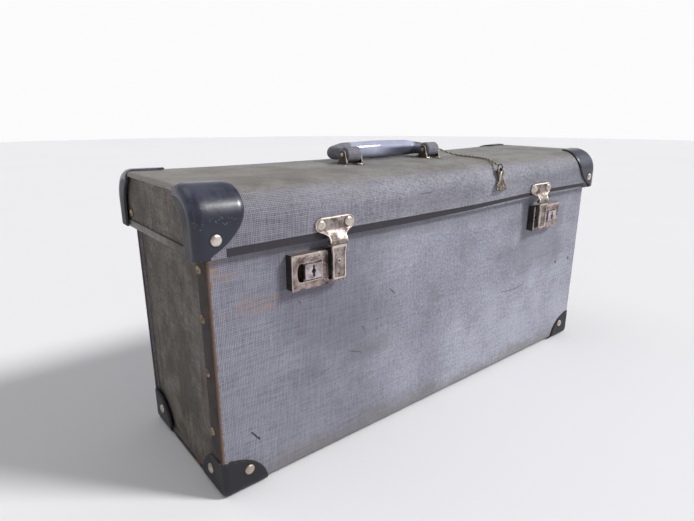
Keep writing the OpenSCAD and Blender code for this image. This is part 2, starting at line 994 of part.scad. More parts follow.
left() back() lid_cap();  // lid_cap_back_left
back() lid_cap();  // lid_cap_back_right
lid_cap_rivets();
lid_end_rivets();
at_x(-hinge_x) hinge_lid_leaf();  // hinge_lid_leaf_left
at_x(hinge_x) hinge_lid_leaf();  // hinge_lid_leaf_right
hinge_rivets(lid_y + leaf_t, seam_z + 12);  // hinge_lid_rivets
at_left_hasp() hasp_plate();  // hasp_plate_left
at_right_hasp() hasp_plate();  // hasp_plate_right
at_left_hasp() hasp_pin();  // hasp_pin_left
at_right_hasp() hasp_pin();  // hasp_pin_right
hasp_rivets();
at_left_hasp() hasp_strap();  // hasp_strap_left
at_right_hasp() hasp_strap();  // hasp_strap_right
at_x(handle_x - bracket_x) handle_bracket();  // handle_bracket_left
at_x(handle_x + bracket_x) handle_bracket();  // handle_bracket_right
at_x(handle_x - bracket_x) handle_pin();  // handle_pin_left
at_x(handle_x + bracket_x) handle_pin();  // handle_pin_right
handle_rivets();
at_x(handle_x) handle_grip();
at_x(handle_x - bracket_x) handle_knuckle();  // handle_knuckle_left
at_x(handle_x + bracket_x) handle_knuckle();  // handle_knuckle_right
key_cord();
key_ring();
keys();
tray_shell();
tray_long_divider();
tray_cross_dividers();
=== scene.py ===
import json
import math
import bmesh
import bpy
from mathutils import Matrix, Vector, noise


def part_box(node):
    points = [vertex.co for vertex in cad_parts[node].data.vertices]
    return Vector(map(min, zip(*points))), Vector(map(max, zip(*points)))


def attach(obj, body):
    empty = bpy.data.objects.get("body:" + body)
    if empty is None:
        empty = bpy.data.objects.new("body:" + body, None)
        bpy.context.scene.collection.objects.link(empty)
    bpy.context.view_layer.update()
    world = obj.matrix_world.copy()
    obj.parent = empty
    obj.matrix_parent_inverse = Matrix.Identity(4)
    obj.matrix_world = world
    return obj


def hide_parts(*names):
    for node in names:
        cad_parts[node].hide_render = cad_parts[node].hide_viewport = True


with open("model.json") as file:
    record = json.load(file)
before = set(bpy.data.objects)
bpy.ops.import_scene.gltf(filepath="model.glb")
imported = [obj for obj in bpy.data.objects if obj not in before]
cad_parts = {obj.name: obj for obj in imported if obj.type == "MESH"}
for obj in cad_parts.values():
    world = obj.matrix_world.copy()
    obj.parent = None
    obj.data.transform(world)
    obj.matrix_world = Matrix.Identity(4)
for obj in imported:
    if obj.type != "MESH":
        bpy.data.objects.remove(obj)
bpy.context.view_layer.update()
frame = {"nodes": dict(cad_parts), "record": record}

# A long grey fibre tool case: an overlapping lid with lacquered corner caps, two
# push-button locks with hasps, a folding handle, keys on a cord and a tray inside.
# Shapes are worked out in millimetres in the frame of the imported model, and become
# metres when a mesh is made.
MM = 0.001
SHARP = 35      # edges that turn by more than this many degrees get rounded
SIDES = ("left", "right")


def node_box(node):
    """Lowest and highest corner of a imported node, in millimetres."""
    low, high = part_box(node)
    return low / MM, high / MM


def smoothstep(t):
    t = min(max(t, 0.0), 1.0)
    return t * t * (3 - 2 * t)


def lerp(a, b, t):
    return a + (b - a) * t


def steps(start, end, count):
    """count + 1 evenly spaced numbers from start to end."""
    return [lerp(start, end, i / count) for i in range(count + 1)]


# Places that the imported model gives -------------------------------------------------

body_low, body_high = node_box("body_wrap")
lid_low, lid_high = node_box("lid_wrap")
panel_low, panel_high = node_box("body_end_left")
lid_end_low = node_box("lid_end_left")[0]
foot_low, foot_high = node_box("foot_cap_front_left")
lid_cap_low, lid_cap_high = node_box("lid_cap_front_left")
band_low, band_high = node_box("lid_band_front")
rivets_high = node_box("body_end_rivets")[1]

HALF_W = body_high.x                    # half the length of the body
HALF_D = body_high.y                    # half its depth
BODY_LOW = body_low.z
RIM_Z = body_high.z
WALL = HALF_D - panel_high.y            # thickness of the fibre
PANEL_X = -panel_low.x                  # outer face of the recessed end panels
SEAM_Z = lid_low.z
LID_X = lid_high.x
LID_Y = lid_high.y
LID_TOP = lid_high.z
LID_PANEL_X = -lid_end_low.x
LID_H = LID_TOP - SEAM_Z
CAP_T = BODY_LOW                        # thickness of the corner caps, which it stands on
BODY_R = 6.0                            # radius of the long bottom edges
LID_R = 24.0                            # radius of the long top edges of the lid
FLAP = 18.0                             # width of the strip folded onto each end
CORNER_LIFT = 2.6                       # how far the corners of the lid have risen
RIM_LIFT = 3.2                          # and its rim in the right half
BAND_TAPER = 1.9                        # how much narrower the dark band is at the right


def lid_lift(x, z):
    """Rise of the lid's ends: the long top has sunk a little in the middle, and the rim
    has curled up at the right."""
    top = CORNER_LIFT * abs(x / LID_X) ** 3
    rim = RIM_LIFT * smoothstep(x / 170)
    return lerp(rim, top, smoothstep((z - SEAM_Z) / LID_H))


def lift_point(p):
    return (p[0], p[1], p[2] + lid_lift(p[0], p[2]))


def lift_mesh(obj):
    """Gives a finished lid piece the same rise as the lid."""
    for vert in obj.data.vertices:
        vert.co = Vector(lift_point(vert.co / MM)) * MM


# Mesh helpers -------------------------------------------------------------------------


def finish_piece(obj, body, nodes, slot, materials, sharp_angle):
    """Rides, replaces, takes its materials, and is shaded smooth by angle. Its slot is not used.
    """
    for material in materials:
        obj.data.materials.append(material)
    for face in obj.data.polygons:
        face.use_smooth = True
    obj.data.set_sharp_from_angle(angle=math.radians(sharp_angle))
    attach(obj, body)
    if nodes:
        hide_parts(*nodes)
    return obj


def new_object(name, data):
    obj = bpy.data.objects.new(name, data)
    bpy.context.scene.collection.objects.link(obj)
    return obj


def mesh_piece(name, verts, faces, body, nodes, slot, materials, sharp_angle=32,
               face_materials=None, cloth=None, wear=None):
    """A new piece from points in millimetres; cloth and wear are values on its points."""
    mesh = bpy.data.meshes.new(name)
    mesh.from_pydata([Vector(v) * MM for v in verts], [], faces)
    mesh.update()
    if face_materials:
        mesh.polygons.foreach_set("material_index", face_materials)
    if cloth:
        layer = mesh.attributes.new("cloth", "FLOAT_VECTOR", "POINT")
        layer.data.foreach_set("vector", [c * MM for point in cloth for c in point])
    if wear:
        layer = mesh.attributes.new("wear", "FLOAT", "POINT")
        layer.data.foreach_set("value", wear)
    obj = new_object(name, mesh)
    clean_mesh(mesh)
    return finish_piece(obj, body, nodes, slot, materials, sharp_angle)


def clean_mesh(mesh):
    """Merges points that coincide, drops faces with no area and turns all faces outward."""
    bm = bmesh.new()
    bm.from_mesh(mesh)
    bmesh.ops.remove_doubles(bm, verts=bm.verts, dist=1e-6)
    bmesh.ops.dissolve_degenerate(bm, edges=bm.edges, dist=1e-7)
    bmesh.ops.recalc_face_normals(bm, faces=bm.faces)
    bm.to_mesh(mesh)
    bm.free()


def grid_quads(rows, cols, start=0, flip=False):
    """Faces between the points of a grid that are numbered row by row."""
    quads = []
    for r in range(rows - 1):
        for c in range(cols - 1):
            a = start + r * cols + c
            quad = (a, a + 1, a + cols + 1, a + cols)
            quads.append(quad[::-1] if flip else quad)
    return quads


def closed_shell(outer, inner):
    """Points and faces of a sheet with thickness, from two grids with the same layout."""
    rows, cols = len(outer), len(outer[0])
    count = rows * cols
    verts = [p for row in outer for p in row] + [p for row in inner for p in row]
    faces = grid_quads(rows, cols) + grid_quads(rows, cols, count, True)
    edge = [(r * cols, (r + 1) * cols) for r in range(rows - 1)]
    edge += [((r + 1) * cols - 1, (r + 2) * cols - 1) for r in range(rows - 1)]
    edge += [(c, c + 1) for c in range(cols - 1)]
    edge += [((rows - 1) * cols + c, (rows - 1) * cols + c + 1) for c in range(cols - 1)]
    for a, b in edge:
        faces.append((a, b, b + count, a + count))
    return verts, faces


def sheet_piece(name, outer, inner, body, node, material, inside, cloth, wear):
    """A bent sheet of fibre: the cloth outside and at its edges, plain fibre inside."""
    verts, faces = closed_shell(outer, inner)
    quads = (len(outer) - 1) * (len(outer[0]) - 1)
    face_materials = [0] * quads + [1] * quads + [0] * (len(faces) - 2 * quads)
    return mesh_piece(name, verts, faces, body, [node], "grey_fibre", [material, inside], 50,
                      face_materials, cloth + cloth, wear + [0.0] * len(wear))


def packed_mesh(node):
    """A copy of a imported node's mesh with its flat faces made whole again."""
    bm = bmesh.new()
    bm.from_mesh(frame["nodes"][node].data)
    bmesh.ops.remove_doubles(bm, verts=bm.verts, dist=1e-6)
    bmesh.ops.dissolve_limit(
        bm, angle_limit=math.radians(0.8), verts=bm.verts, edges=bm.edges
    )
    return bm


def apply_modifiers(obj):
    """Turns the object's modified shape into its mesh."""
    depsgraph = bpy.context.evaluated_depsgraph_get()
    mesh = bpy.data.meshes.new_from_object(obj.evaluated_get(depsgraph))
    obj.modifiers.clear()
    old = obj.data
    obj.data = mesh
    bpy.data.meshes.remove(old)


def packed_copy(node, name):
    """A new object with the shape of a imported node."""
    mesh = bpy.data.meshes.new(name)
    bm = packed_mesh(node)
    bm.to_mesh(mesh)
    bm.free()
    return new_object(name, mesh)


def softened(node, width, material, edge=None, name=None, segments=2):
    """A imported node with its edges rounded; the rounded edges can show bright metal."""
    obj = packed_copy(node, name or node + "_soft")
    obj.data.materials.append(looks[material])
    obj.data.materials.append(looks[edge or material])
    bevel = obj.modifiers.new("edges", "BEVEL")
    bevel.limit_method = "ANGLE"
    bevel.angle_limit = math.radians(SHARP)
    bevel.width = width * MM
    bevel.segments = segments
    bevel.material = 1
    bevel.use_clamp_overlap = True
    apply_modifiers(obj)
    return finish_piece(obj, body_of(node), [node], material, [], 40)


def body_of(node):
    bodies = frame["record"]["behaviour"]["bodies"]
    return next(body for body, nodes in bodies.items() if node in nodes)


def islands(node):
    """Boxes, in millimetres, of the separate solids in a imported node."""
    bm = packed_mesh(node)
    left = set(bm.verts)
    found = []
    while left:
        todo = [left.pop()]
        points = []
        while todo:
            vert = todo.pop()
            points.append(vert.co / MM)
            for edge in vert.link_edges:
                other = edge.other_vert(vert)
                if other in left:
                    left.remove(other)
                    todo.append(other)
        low = Vector(min(p[i] for p in points) for i in range(3))
        high = Vector(max(p[i] for p in points) for i in range(3))
        found.append((low, high))
    bm.free()
    return sorted(found, key=lambda box: tuple(round(c, 2) for c in box[0]))


def along_path(path):
    """Each point of a path with two directions across it that do not twist."""
    side = None
    for i, p in enumerate(path):
        ahead = Vector(path[min(i + 1, len(path) - 1)]) - Vector(path[max(i - 1, 0)])
        ahead.normalize()
        if side is None:
            side = ahead.orthogonal().normalized()
        side = (side - ahead * side.dot(ahead)).normalized()
        yield Vector(p), side, ahead.cross(side)


def ring(centre, side, up, radius, sides):
    """Points of a circle."""
    turns = [2 * math.pi * k / sides for k in range(sides)]
    return [centre + (side * math.cos(t) + up * math.sin(t)) * radius for t in turns]


def ring_faces(rings, sides):
    """Faces between rings of points that are numbered ring by ring."""
    return [(i * sides + k, i * sides + (k + 1) % sides, (i + 1) * sides + (k + 1) % sides,
             (i + 1) * sides + k) for i in range(rings - 1) for k in range(sides)]


def swept_tube(path, radius, sides):
    """Points and faces of a round tube along points in millimetres, closed at both ends."""
    verts = []
    for centre, side, up in along_path(path):
        verts += ring(centre, side, up, radius, sides)
    faces = ring_faces(len(path), sides)
    faces.append(tuple(range(sides))[::-1])
    faces.append(tuple(range(len(verts) - sides, len(verts))))
    return verts, faces


def joined(parts):
    """One list of points and faces from several."""
    verts, faces = [], []
    for part_verts, part_faces in parts:
        start = len(verts)
        verts += part_verts
        faces += [tuple(start + i for i in face) for face in part_faces]
    return verts, faces


def arc(cx, cy, r, start, end, count=10):
    """Points on an arc, angles in degrees."""
    return [
        (cx + r * math.cos(math.radians(a)), cy + r * math.sin(math.radians(a)))
        for a in steps(start, end, count)
    ]


def rounded_rect(x0, z0, x1, z1, r, count=4):
    """Outline of a rectangle with round corners."""
    return (
        arc(x1 - r, z0 + r, r, -90, 0, count)
        + arc(x1 - r, z1 - r, r, 0, 90, count)
        + arc(x0 + r, z1 - r, r, 90, 180, count)
        + arc(x0 + r, z0 + r, r, 180, 270, count)
    )


def plate(loops, front_y, back_y, soft):
    """Points and faces of a plate cut to outlines in X and Z, with soft front edges."""
    curve = bpy.data.curves.new("outline", "CURVE")
    curve.dimensions = "2D"
    curve.fill_mode = "BOTH"
    thick = abs(back_y - front_y)
    curve.extrude = max(thick / 2 - soft, 0.0)
    curve.bevel_depth = soft
    curve.bevel_resolution = 1
    curve.offset = -soft
    for loop in loops:
        spline = curve.splines.new("POLY")
        spline.points.add(len(loop) - 1)
        for point, (x, z) in zip(spline.points, loop):
            point.co = (x, z, 0, 1)
        spline.use_cyclic_u = True
    obj = new_object("outline", curve)
    depsgraph = bpy.context.evaluated_depsgraph_get()
    mesh = bpy.data.meshes.new_from_object(obj.evaluated_get(depsgraph))
    middle = (front_y + back_y) / 2
    verts = [(v.co.x, middle - v.co.z, v.co.y) for v in mesh.vertices]
    faces = [tuple(f.vertices) for f in mesh.polygons]
    bpy.data.objects.remove(obj)
    bpy.data.curves.remove(curve)
    bpy.data.meshes.remove(mesh)
    return verts, faces


# Node materials --------------------------------------------------------------------------


def rgb(red, green, blue):
    """A colour given as 0 to 255 on a screen, as the shader wants it."""
    def linear(c):
        c = c / 255
        return c / 12.92 if c <= 0.04045 else ((c + 0.055) / 1.055) ** 2.4
    return (linear(red), linear(green), linear(blue), 1.0)


def put(tree, socket, value):
    """Links an output to a socket, or sets the socket's own value."""
    if hasattr(value, "is_output"):
        tree.links.new(value, socket)
    else:
        socket.default_value = value


def wire(tree, kind, output, inputs, **settings):
    """A new node with values or links on its inputs; gives back one of its outputs."""
    made = tree.nodes.new(kind)
    for key, value in settings.items():
        setattr(made, key, value)
    for key, value in inputs.items():
        put(tree, made.inputs[key], value)
    return made.outputs[output]


class Paint:
    """A node material built one layer at a time; colour and rough are what it has so far."""

    def __init__(self, name, roughness=0.5, metallic=0.0, **sockets):
        self.material = bpy.data.materials.new(name)
        self.material.use_nodes = True
        self.tree = self.material.node_tree
        self.shader = self.tree.nodes["Principled BSDF"]
        sockets.update(Roughness=roughness, Metallic=metallic)
        for key, value in sockets.items():
            self.shader.inputs[key.replace("_", " ")].default_value = value
        self.place = self.wire("ShaderNodeTexCoord", "Object", {})
        self.colour = self.rough = self.weave = None

    def wire(self, kind, output, inputs, **settings):
        return wire(self.tree, kind, output, inputs, **settings)

    def math(self, operation, a, b=0.0, c=0.0, clamp=False):
        return self.wire("ShaderNodeMath", 0, {0: a, 1: b, 2: c},
                         operation=operation, use_clamp=clamp)

    def times(self, a, b):
        return self.math("MULTIPLY", a, b)

    def plus(self, a, b, clamp=False):
        return self.math("ADD", a, b, clamp=clamp)

    def minus(self, a, b):
        return self.math("SUBTRACT", a, b)

    def size(self, a):
        return self.math("ABSOLUTE", a)

    def highest(self, first, *others):
        for other in others:
            first = self.math("MAXIMUM", first, other)
        return first

    def vector(self, operation, a, b=(0, 0, 0)):
        output = "Value" if operation in ("LENGTH", "DOT_PRODUCT") else "Vector"
        return self.wire("ShaderNodeVectorMath", output, {0: a, 1: b}, operation=operation)

    def noise(self, scale, detail=3.0, rough=0.55, warp=0.0):
        """Noise of a scale; three scales stretch it along the axes."""
        place = self.place
        if isinstance(scale, tuple):
            place, scale = self.vector("MULTIPLY", place, scale), 1.0
        return self.wire("ShaderNodeTexNoise", 0, {
            "Vector": place, "Scale": scale, "Detail": detail, "Roughness": rough,
            "Distortion": warp})

    def patches(self, noise, low, high, to_low=0.0, to_high=1.0, smooth=True):
        """Patches of a noise, which is given as its scale, detail, roughness and warp."""
        return self.span(self.noise(*noise), low, high, to_low, to_high, smooth)

    def spots(self, scale):
        return self.wire("ShaderNodeTexVoronoi", "Distance",
                         {"Vector": self.place, "Scale": scale})

    def span(self, value, low, high, to_low=0.0, to_high=1.0, smooth=True):
        return self.wire("ShaderNodeMapRange", 0, {
            "Value": value, "From Min": low, "From Max": high, "To Min": to_low,
            "To Max": to_high}, interpolation_type="SMOOTHSTEP" if smooth else "LINEAR")

    def mix(self, factor, a, b):
        return self.wire("ShaderNodeMix", 2, {0: factor, 6: a, 7: b},
                         data_type="RGBA", blend_type="MIX")

    def rub(self, mask, tint, strength=1.0):
        """Lays a tint over the colour so far where the mask says."""
        self.colour = self.mix(self.times(mask, strength), self.colour, tint)

    def rub_cloth(self, mask, dark, light, strength):
        """The same with a tint that still shows the threads."""
        self.rub(mask, self.mix(self.span(self.weave, 0.22, 0.6), dark, light), strength)

    def roughen(self, mask, amount):
        self.rough = self.plus(self.rough, self.times(mask, amount), clamp=True)

    def attribute(self, name, output):
        return self.wire("ShaderNodeAttribute", output, {}, attribute_name=name)

    def axis(self, number, at=None):
        """One part of a place: 0 along the case, 1 into it, 2 up."""
        return self.wire("ShaderNodeSeparateXYZ", number, {0: at or self.place})

    def ragged(self, amount=0.5, scale=140.0, detail=4, rough=0.65):
        """Noise around nought, for the edges of marks."""
        return self.patches((scale, detail, rough), 0.3, 0.7, -amount, amount, False)

    def worn(self, low, high, amount=0.4, scale=190, detail=4, rough=0.7):
        """Where the wear kept on the mesh's points is strong, with a ragged edge."""
        wear = self.attribute("wear", "Fac")
        return self.span(self.plus(wear, self.ragged(amount, scale, detail, rough)), low, high)

    def spot(self, centre, radii, soft=0.6, ragged=0.5, scale=140.0):
        """A mark round a place: 1 in the middle and 0 outside, with a ragged edge."""
        away = self.vector("SUBTRACT", self.place, tuple(c * MM for c in centre))
        away = self.vector("DIVIDE", away, tuple(r * MM for r in radii))
        length = self.plus(self.vector("LENGTH", away), self.ragged(ragged, scale))
        return self.span(length, 1.0 + soft / 2, 1.0 - soft / 2)

    def specks(self, scale, patch_scale, patch_low):
        """Dark specks that gather in patches."""
        specks = self.span(self.spots(scale), 0.05, 0.02)
        patchy = self.patches((patch_scale, 2), patch_low, patch_low + 0.14)
        self.rub(self.times(specks, patchy), DARK_DIRT, 0.45)

    def bump(self, height, distance, strength=1.0, under=None):
        inputs = {"Strength": strength, "Distance": distance, "Height": height}
        if under:
            inputs["Normal"] = under
        return self.wire("ShaderNodeBump", 0, inputs)

    def done(self, normal, metallic=None):
        for socket, value in (("Base Color", self.colour), ("Roughness", self.rough),
                              ("Metallic", metallic), ("Normal", normal)):
            if value is not None:
                put(self.tree, self.shader.inputs[socket], value)
        return self.material


WEAVE_PITCH = 1.32 * MM      # from one thread of the embossed linen to the next
BROWN_FIBRE = rgb(122, 92, 72)
DARK_DIRT = rgb(62, 58, 54)


def darker(colour, share):
    return tuple(c * share for c in colour[:3]) + (1.0,)


def linen(paint, u, v):
    """Height of the embossed linen, from places across and along the cloth."""
    drift = paint.noise(55, 2, 0.5)

    def threads(along, stretch):
        slub = paint.patches((stretch, 2, 0.6), 0.3, 0.7, 0.45, 1.0)
        turns = paint.math("MULTIPLY_ADD", along, math.pi / WEAVE_PITCH,
                           paint.times(drift, 1.6))
        return paint.times(paint.size(paint.math("SINE", turns)), slub)

    return paint.times(paint.plus(threads(u, (700, 700, 45)), threads(v, (45, 45, 700))), 0.5)


def fibre_material(name, light, dark, u_v, marks, roughness=(0.42, 0.62), relief=0.00035,
                   strength=0.85):
    """Linen-embossed vulcanised fibre: threads, blotches, rubbed ridges and its own marks."""
    paint = Paint(name, Specular_IOR_Level=0.42, Coat_Weight=0.0)
    paint.weave = linen(paint, *u_v(paint))
    threads = paint.span(paint.weave, 0.26, 0.58)
    rubbed = paint.patches((9, 4, 0.6), 0.38, 0.62, 0.3, 1.0)
    threads = paint.math("MULTIPLY_ADD", paint.minus(threads, 0.5), rubbed, 0.5)
    blotches = paint.noise(11, 5, 0.62)
    clouds = paint.span(blotches, 0.34, 0.66, -0.30, 0.26, False)
    grain = paint.ragged(0.3, 420, 2, 0.6)
    fade = paint.plus(paint.times(threads, strength), 0.5 - strength / 2)
    fade = paint.plus(fade, paint.plus(clouds, grain), clamp=True)
    paint.colour = paint.mix(fade, dark, light)
    paint.rough = paint.span(blotches, 0.35, 0.65, *roughness, False)
    marks(paint)
    normal = paint.bump(paint.weave, relief, 0.8)
    return paint.done(paint.bump(paint.noise(900, 2, 0.6), 0.00012, 0.5, under=normal))


def cloth_places(paint):
    """Across and along the cloth, from the values kept on the wraps' points."""
    cloth = paint.attribute("cloth", "Vector")
    return paint.axis(0, cloth), paint.axis(1, cloth)


def end_places(paint):
    return paint.axis(1), paint.axis(2)


def on_front(paint, face_y):
    """1 on the front face and 0 behind it."""
    return paint.span(paint.axis(1), (face_y + 3) * MM, (face_y + 2) * MM)


def stroke(paint, face_y, start, end, width, strength=1.0):
    """A short straight scratch on the front between two places (x, z), thin at its ends."""
    along = Vector((end[0] - start[0], 0, end[1] - start[1]))
    away = paint.vector("SUBTRACT", paint.place, (start[0] * MM, 0, start[1] * MM))
    flat = paint.vector("MULTIPLY", away, (1, 0, 1))
    dot = paint.vector("DOT_PRODUCT", flat, tuple(along / along.length_squared / MM))
    nearest = paint.wire("ShaderNodeVectorMath", 0, {
        0: tuple(along * MM), "Scale": paint.plus(dot, 0.0, clamp=True)}, operation="SCALE")
    off = paint.vector("LENGTH", paint.vector("SUBTRACT", flat, nearest))
    off = paint.plus(off, paint.ragged(0.25 * width * MM, 900))
    thin = paint.span(off, 0.62 * width * MM, 0.35 * width * MM)
    return paint.times(paint.times(thin, on_front(paint, face_y)), strength)


def scratch_line(paint, x, z, half_len, bend, face_y):
    """A fine curved scratch on the front: thin in Z, and it fades out at both ends."""
    along = paint.math("DIVIDE", paint.minus(paint.axis(0), x * MM), half_len * MM)
    curve = paint.times(paint.times(along, along), bend * -6 * MM)
    off = paint.minus(paint.minus(paint.axis(2), z * MM), curve)
    thin = paint.span(paint.size(off), 0.0009, 0.0003)
    ends = paint.span(paint.size(along), 1.0, 0.7)
    return paint.times(paint.times(thin, ends), on_front(paint, face_y))


def body_marks(paint):
    """Scuffs, nicks, painted shade towards the left end, round the locks and under the lid, and
    dirt near the floor on the body.
    """
    front = -HALF_D
    left_shade = paint.span(paint.plus(paint.axis(0), paint.ragged(0.05, 12)), 0.06, -0.21)
    # Darker patches round the two locks and a darker strip just under the lid are painted shade.
    shade_round_left_lock = paint.spot((-152, front, 140), (52, 14, 52), 1.1, 0.45, 22)
    shade_round_right_lock = paint.spot((160, front, 146), (52, 14, 44), 1.1, 0.5, 22)
    brushed = paint.patches(((24, 24, 60), 4, 0.65, 0.3), 0.56, 0.7)
    shade_under_lid = paint.spot((-20, front, 192), (230, 14, 9), 1.0, 0.4, 30)
    paint.rub_cloth(left_shade, rgb(80, 79, 90), rgb(132, 131, 144), 0.78)
    paint.rub_cloth(shade_round_left_lock, rgb(80, 78, 92), rgb(108, 106, 120), 0.5)
    paint.rub_cloth(shade_round_right_lock, rgb(98, 98, 110), rgb(122, 122, 134), 0.55)
    paint.rub_cloth(brushed, rgb(104, 104, 114), rgb(134, 134, 146), 0.28)
    paint.rub(shade_under_lid, rgb(104, 103, 112), 0.4)
    streaks = paint.patches(((90, 90, 520), 4, 0.7), 0.44, 0.6)
    orange = paint.highest(*(paint.spot((x, front, z), radii, soft, ragged, scale)
                             for x, z, radii, soft, ragged, scale in (
        (-240, 179, (9, 12, 3.5), 0.9, 0.9, 300),
        (-214, 154, (17, 12, 5), 1.0, 1.0, 260),
        (-246, 190, (6, 12, 7), 0.9, 1.0, 300),
    )))
    paint.rub(paint.times(orange, streaks), rgb(150, 122, 102), 0.8)
    smudges = paint.highest(*(paint.spot((x, front, z), radii, soft, ragged, scale)
                              for x, z, radii, soft, ragged, scale in (
        (98, 138, (26, 12, 4), 1.0, 1.0, 90),
        (-18, 118, (9, 12, 8), 1.0, 0.9, 120),
        (20, 150, (7, 12, 7), 1.0, 1.0, 120),
        (-100, 86, (26, 12, 10), 1.1, 1.0, 60),
    )))
    paint.rub(smudges, rgb(100, 100, 104), 0.3)
    low_dirt = paint.span(paint.plus(paint.axis(2), paint.ragged(0.012, 30)), 0.026, 0.004)
    paint.rub(low_dirt, rgb(108, 103, 92), 0.55)
    paint.specks(62, 9, 0.52)
    nicks = paint.highest(*(stroke(paint, front, *place_and_width) for place_and_width in (
        ((-224.5, 50), (-218, 41.5), 1.5),
        ((-79, 136), (-73, 130), 1.1, 0.8),
        ((-112, 109), (-110, 105), 1.0, 0.8),
        ((-128, 90), (-113, 84), 0.8, 0.6),
        ((-178, 148), (-176, 146), 1.0, 0.6),
        ((-164, 76), (-146, 81), 0.6, 0.4),
    )))
    paint.rub(scratch_line(paint, 115, 92, 27, -0.5, front), DARK_DIRT, 0.55)
    paint.rub(nicks, rgb(34, 31, 32), 0.92)
    folded = paint.span(paint.size(paint.axis(0)), 0.2487, 0.2499)
    grimy = paint.mix(paint.patches((60, 4, 0.6), 0.35, 0.65), rgb(36, 27, 22), rgb(58, 46, 38))
    paint.rub(folded, grimy, 0.92)
    paint.roughen(folded, 0.3)
    worn = paint.worn(0.46, 0.74)
    paint.rub(worn, BROWN_FIBRE, 0.85)
    paint.roughen(worn, 0.2)


def lid_marks(paint):
    """A browner, dustier top, painted shade towards the left and on the end flange under the
    right cap, a scratch on the front, and rubbed edges on the lid.
    """
    front = -LID_Y
    top = paint.span(paint.axis(2), (LID_TOP - 9) * MM, (LID_TOP - 1) * MM)
    shaded_top = paint.spot((-205, 0, LID_TOP), (80, 120, 30), 1.2, 0.5, 18)
    dusty = paint.patches((26, 6, 0.72), 0.44, 0.62)
    paint.rub_cloth(top, rgb(112, 108, 103), rgb(158, 154, 148), 0.75)
    paint.rub_cloth(shaded_top, rgb(100, 94, 86), rgb(136, 130, 122), 0.5)
    paint.rub(paint.times(dusty, top), rgb(94, 90, 84), 0.45)
    paint.rub(scratch_line(paint, -44, 220, 10, -0.1, front), DARK_DIRT, 0.75)
    left_shade = paint.span(paint.plus(paint.axis(0), paint.ragged(0.05, 12)), -0.02, -0.2)
    side = paint.times(left_shade, paint.minus(1.0, top))
    paint.rub_cloth(side, rgb(68, 66, 76), rgb(130, 128, 140), 0.75)
    for x, z, radii, soft, ragged, scale, tint, strength in (
        (-30, 214, (60, 14, 12), 1.1, 0.6, 24, rgb(112, 111, 122), 0.4),
        (190, 214, (50, 14, 16), 1.1, 0.6, 24, rgb(112, 111, 122), 0.35),
        # the last spot is painted shade on the end flange under the right cap
        (249, 199, (13, 14, 5.5), 0.7, 0.4, 200, rgb(46, 38, 38), 0.85),
    ):
        paint.rub(paint.spot((x, front, z), radii, soft, ragged, scale), tint, strength)
    paint.specks(48, 8, 0.54)
    paint.rub(paint.worn(0.55, 0.85, 0.45, 170), rgb(150, 142, 132), 0.6)


def end_marks(paint):
    """Brownish grime on the ends, thicker towards the front, and paler thread tops in patches,
    partly rubbed pale and partly a painted highlight on the ridges.
    """
    # Paler thread tops: rubbed pale, and painted light catching the ridges of the weave.
    rubbed_and_lit_threads = paint.times(paint.span(paint.weave, 0.44, 0.6), paint.patches((20, 4, 0.65), 0.4, 0.6))
    paint.rub(rubbed_and_lit_threads, rgb(158, 154, 149), 0.5)
    paint.rub(paint.patches((22, 5, 0.7), 0.42, 0.62), rgb(58, 50, 42), 0.65)
    paint.rub(paint.patches(((10, 260, 14), 3, 0.6), 0.54, 0.7), rgb(50, 42, 38), 0.55)
    paint.rub(paint.span(paint.axis(1), -0.02, -0.056), rgb(78, 66, 64), 0.4)


def lacquer_material(name, deep, rubbed, roughness, scuff_height, coat=0.5, sheen_shoulder=None):
    """Lacquered fibre caps: glossy film, fine scuffs, and paler rubbed places, with a
    painted sheen above a given height: a paler band standing for the reflection over the
    rounding."""
    paint = Paint(name, roughness, Specular_IOR_Level=0.36, Coat_Weight=coat,
                  Coat_Roughness=0.18)
    cloud = paint.patches((38, 4, 0.6), 0.3, 0.72)
    paint.colour = paint.mix(cloud, deep, darker(deep, 1.35))
    if sheen_shoulder:
        # Paler band over the top rounding: painted sheen standing for the reflection of the sky.
        height = paint.plus(paint.axis(2), paint.ragged(0.003, 90))
        painted_sheen = paint.span(height, (sheen_shoulder - 5) * MM, (sheen_shoulder + 3) * MM)
        painted_sheen = paint.times(painted_sheen, paint.patches((34, 4, 0.65), 0.36, 0.62))
        paint.rub(painted_sheen, rgb(90, 93, 112), 0.45)
    scuffs = paint.times(paint.patches(((120, 260, 520), 5, 0.72), 0.62, 0.72),
                         paint.patches((26, 2), 0.5, 0.66))
    off_line = paint.size(paint.minus(paint.axis(2), scuff_height * MM))
    line = paint.times(paint.span(off_line, 0.0042, 0.0005),
                       paint.patches((520, 5, 0.8), 0.57, 0.66))
    marks = paint.highest(scuffs, line)
    paint.rub(marks, rubbed, 0.55)
    paint.rub(paint.worn(0.85, 1.25, scale=240), rubbed, 0.25)
    paint.rough = paint.span(cloud, 0, 1, roughness, roughness + 0.14, False)
    paint.roughen(marks, 0.25)
    normal = paint.bump(paint.noise(90, 3, 0.6), 0.0006, 0.35)
    return paint.done(paint.bump(paint.noise(700, 3, 0.6), 0.0001, 0.4, under=normal))


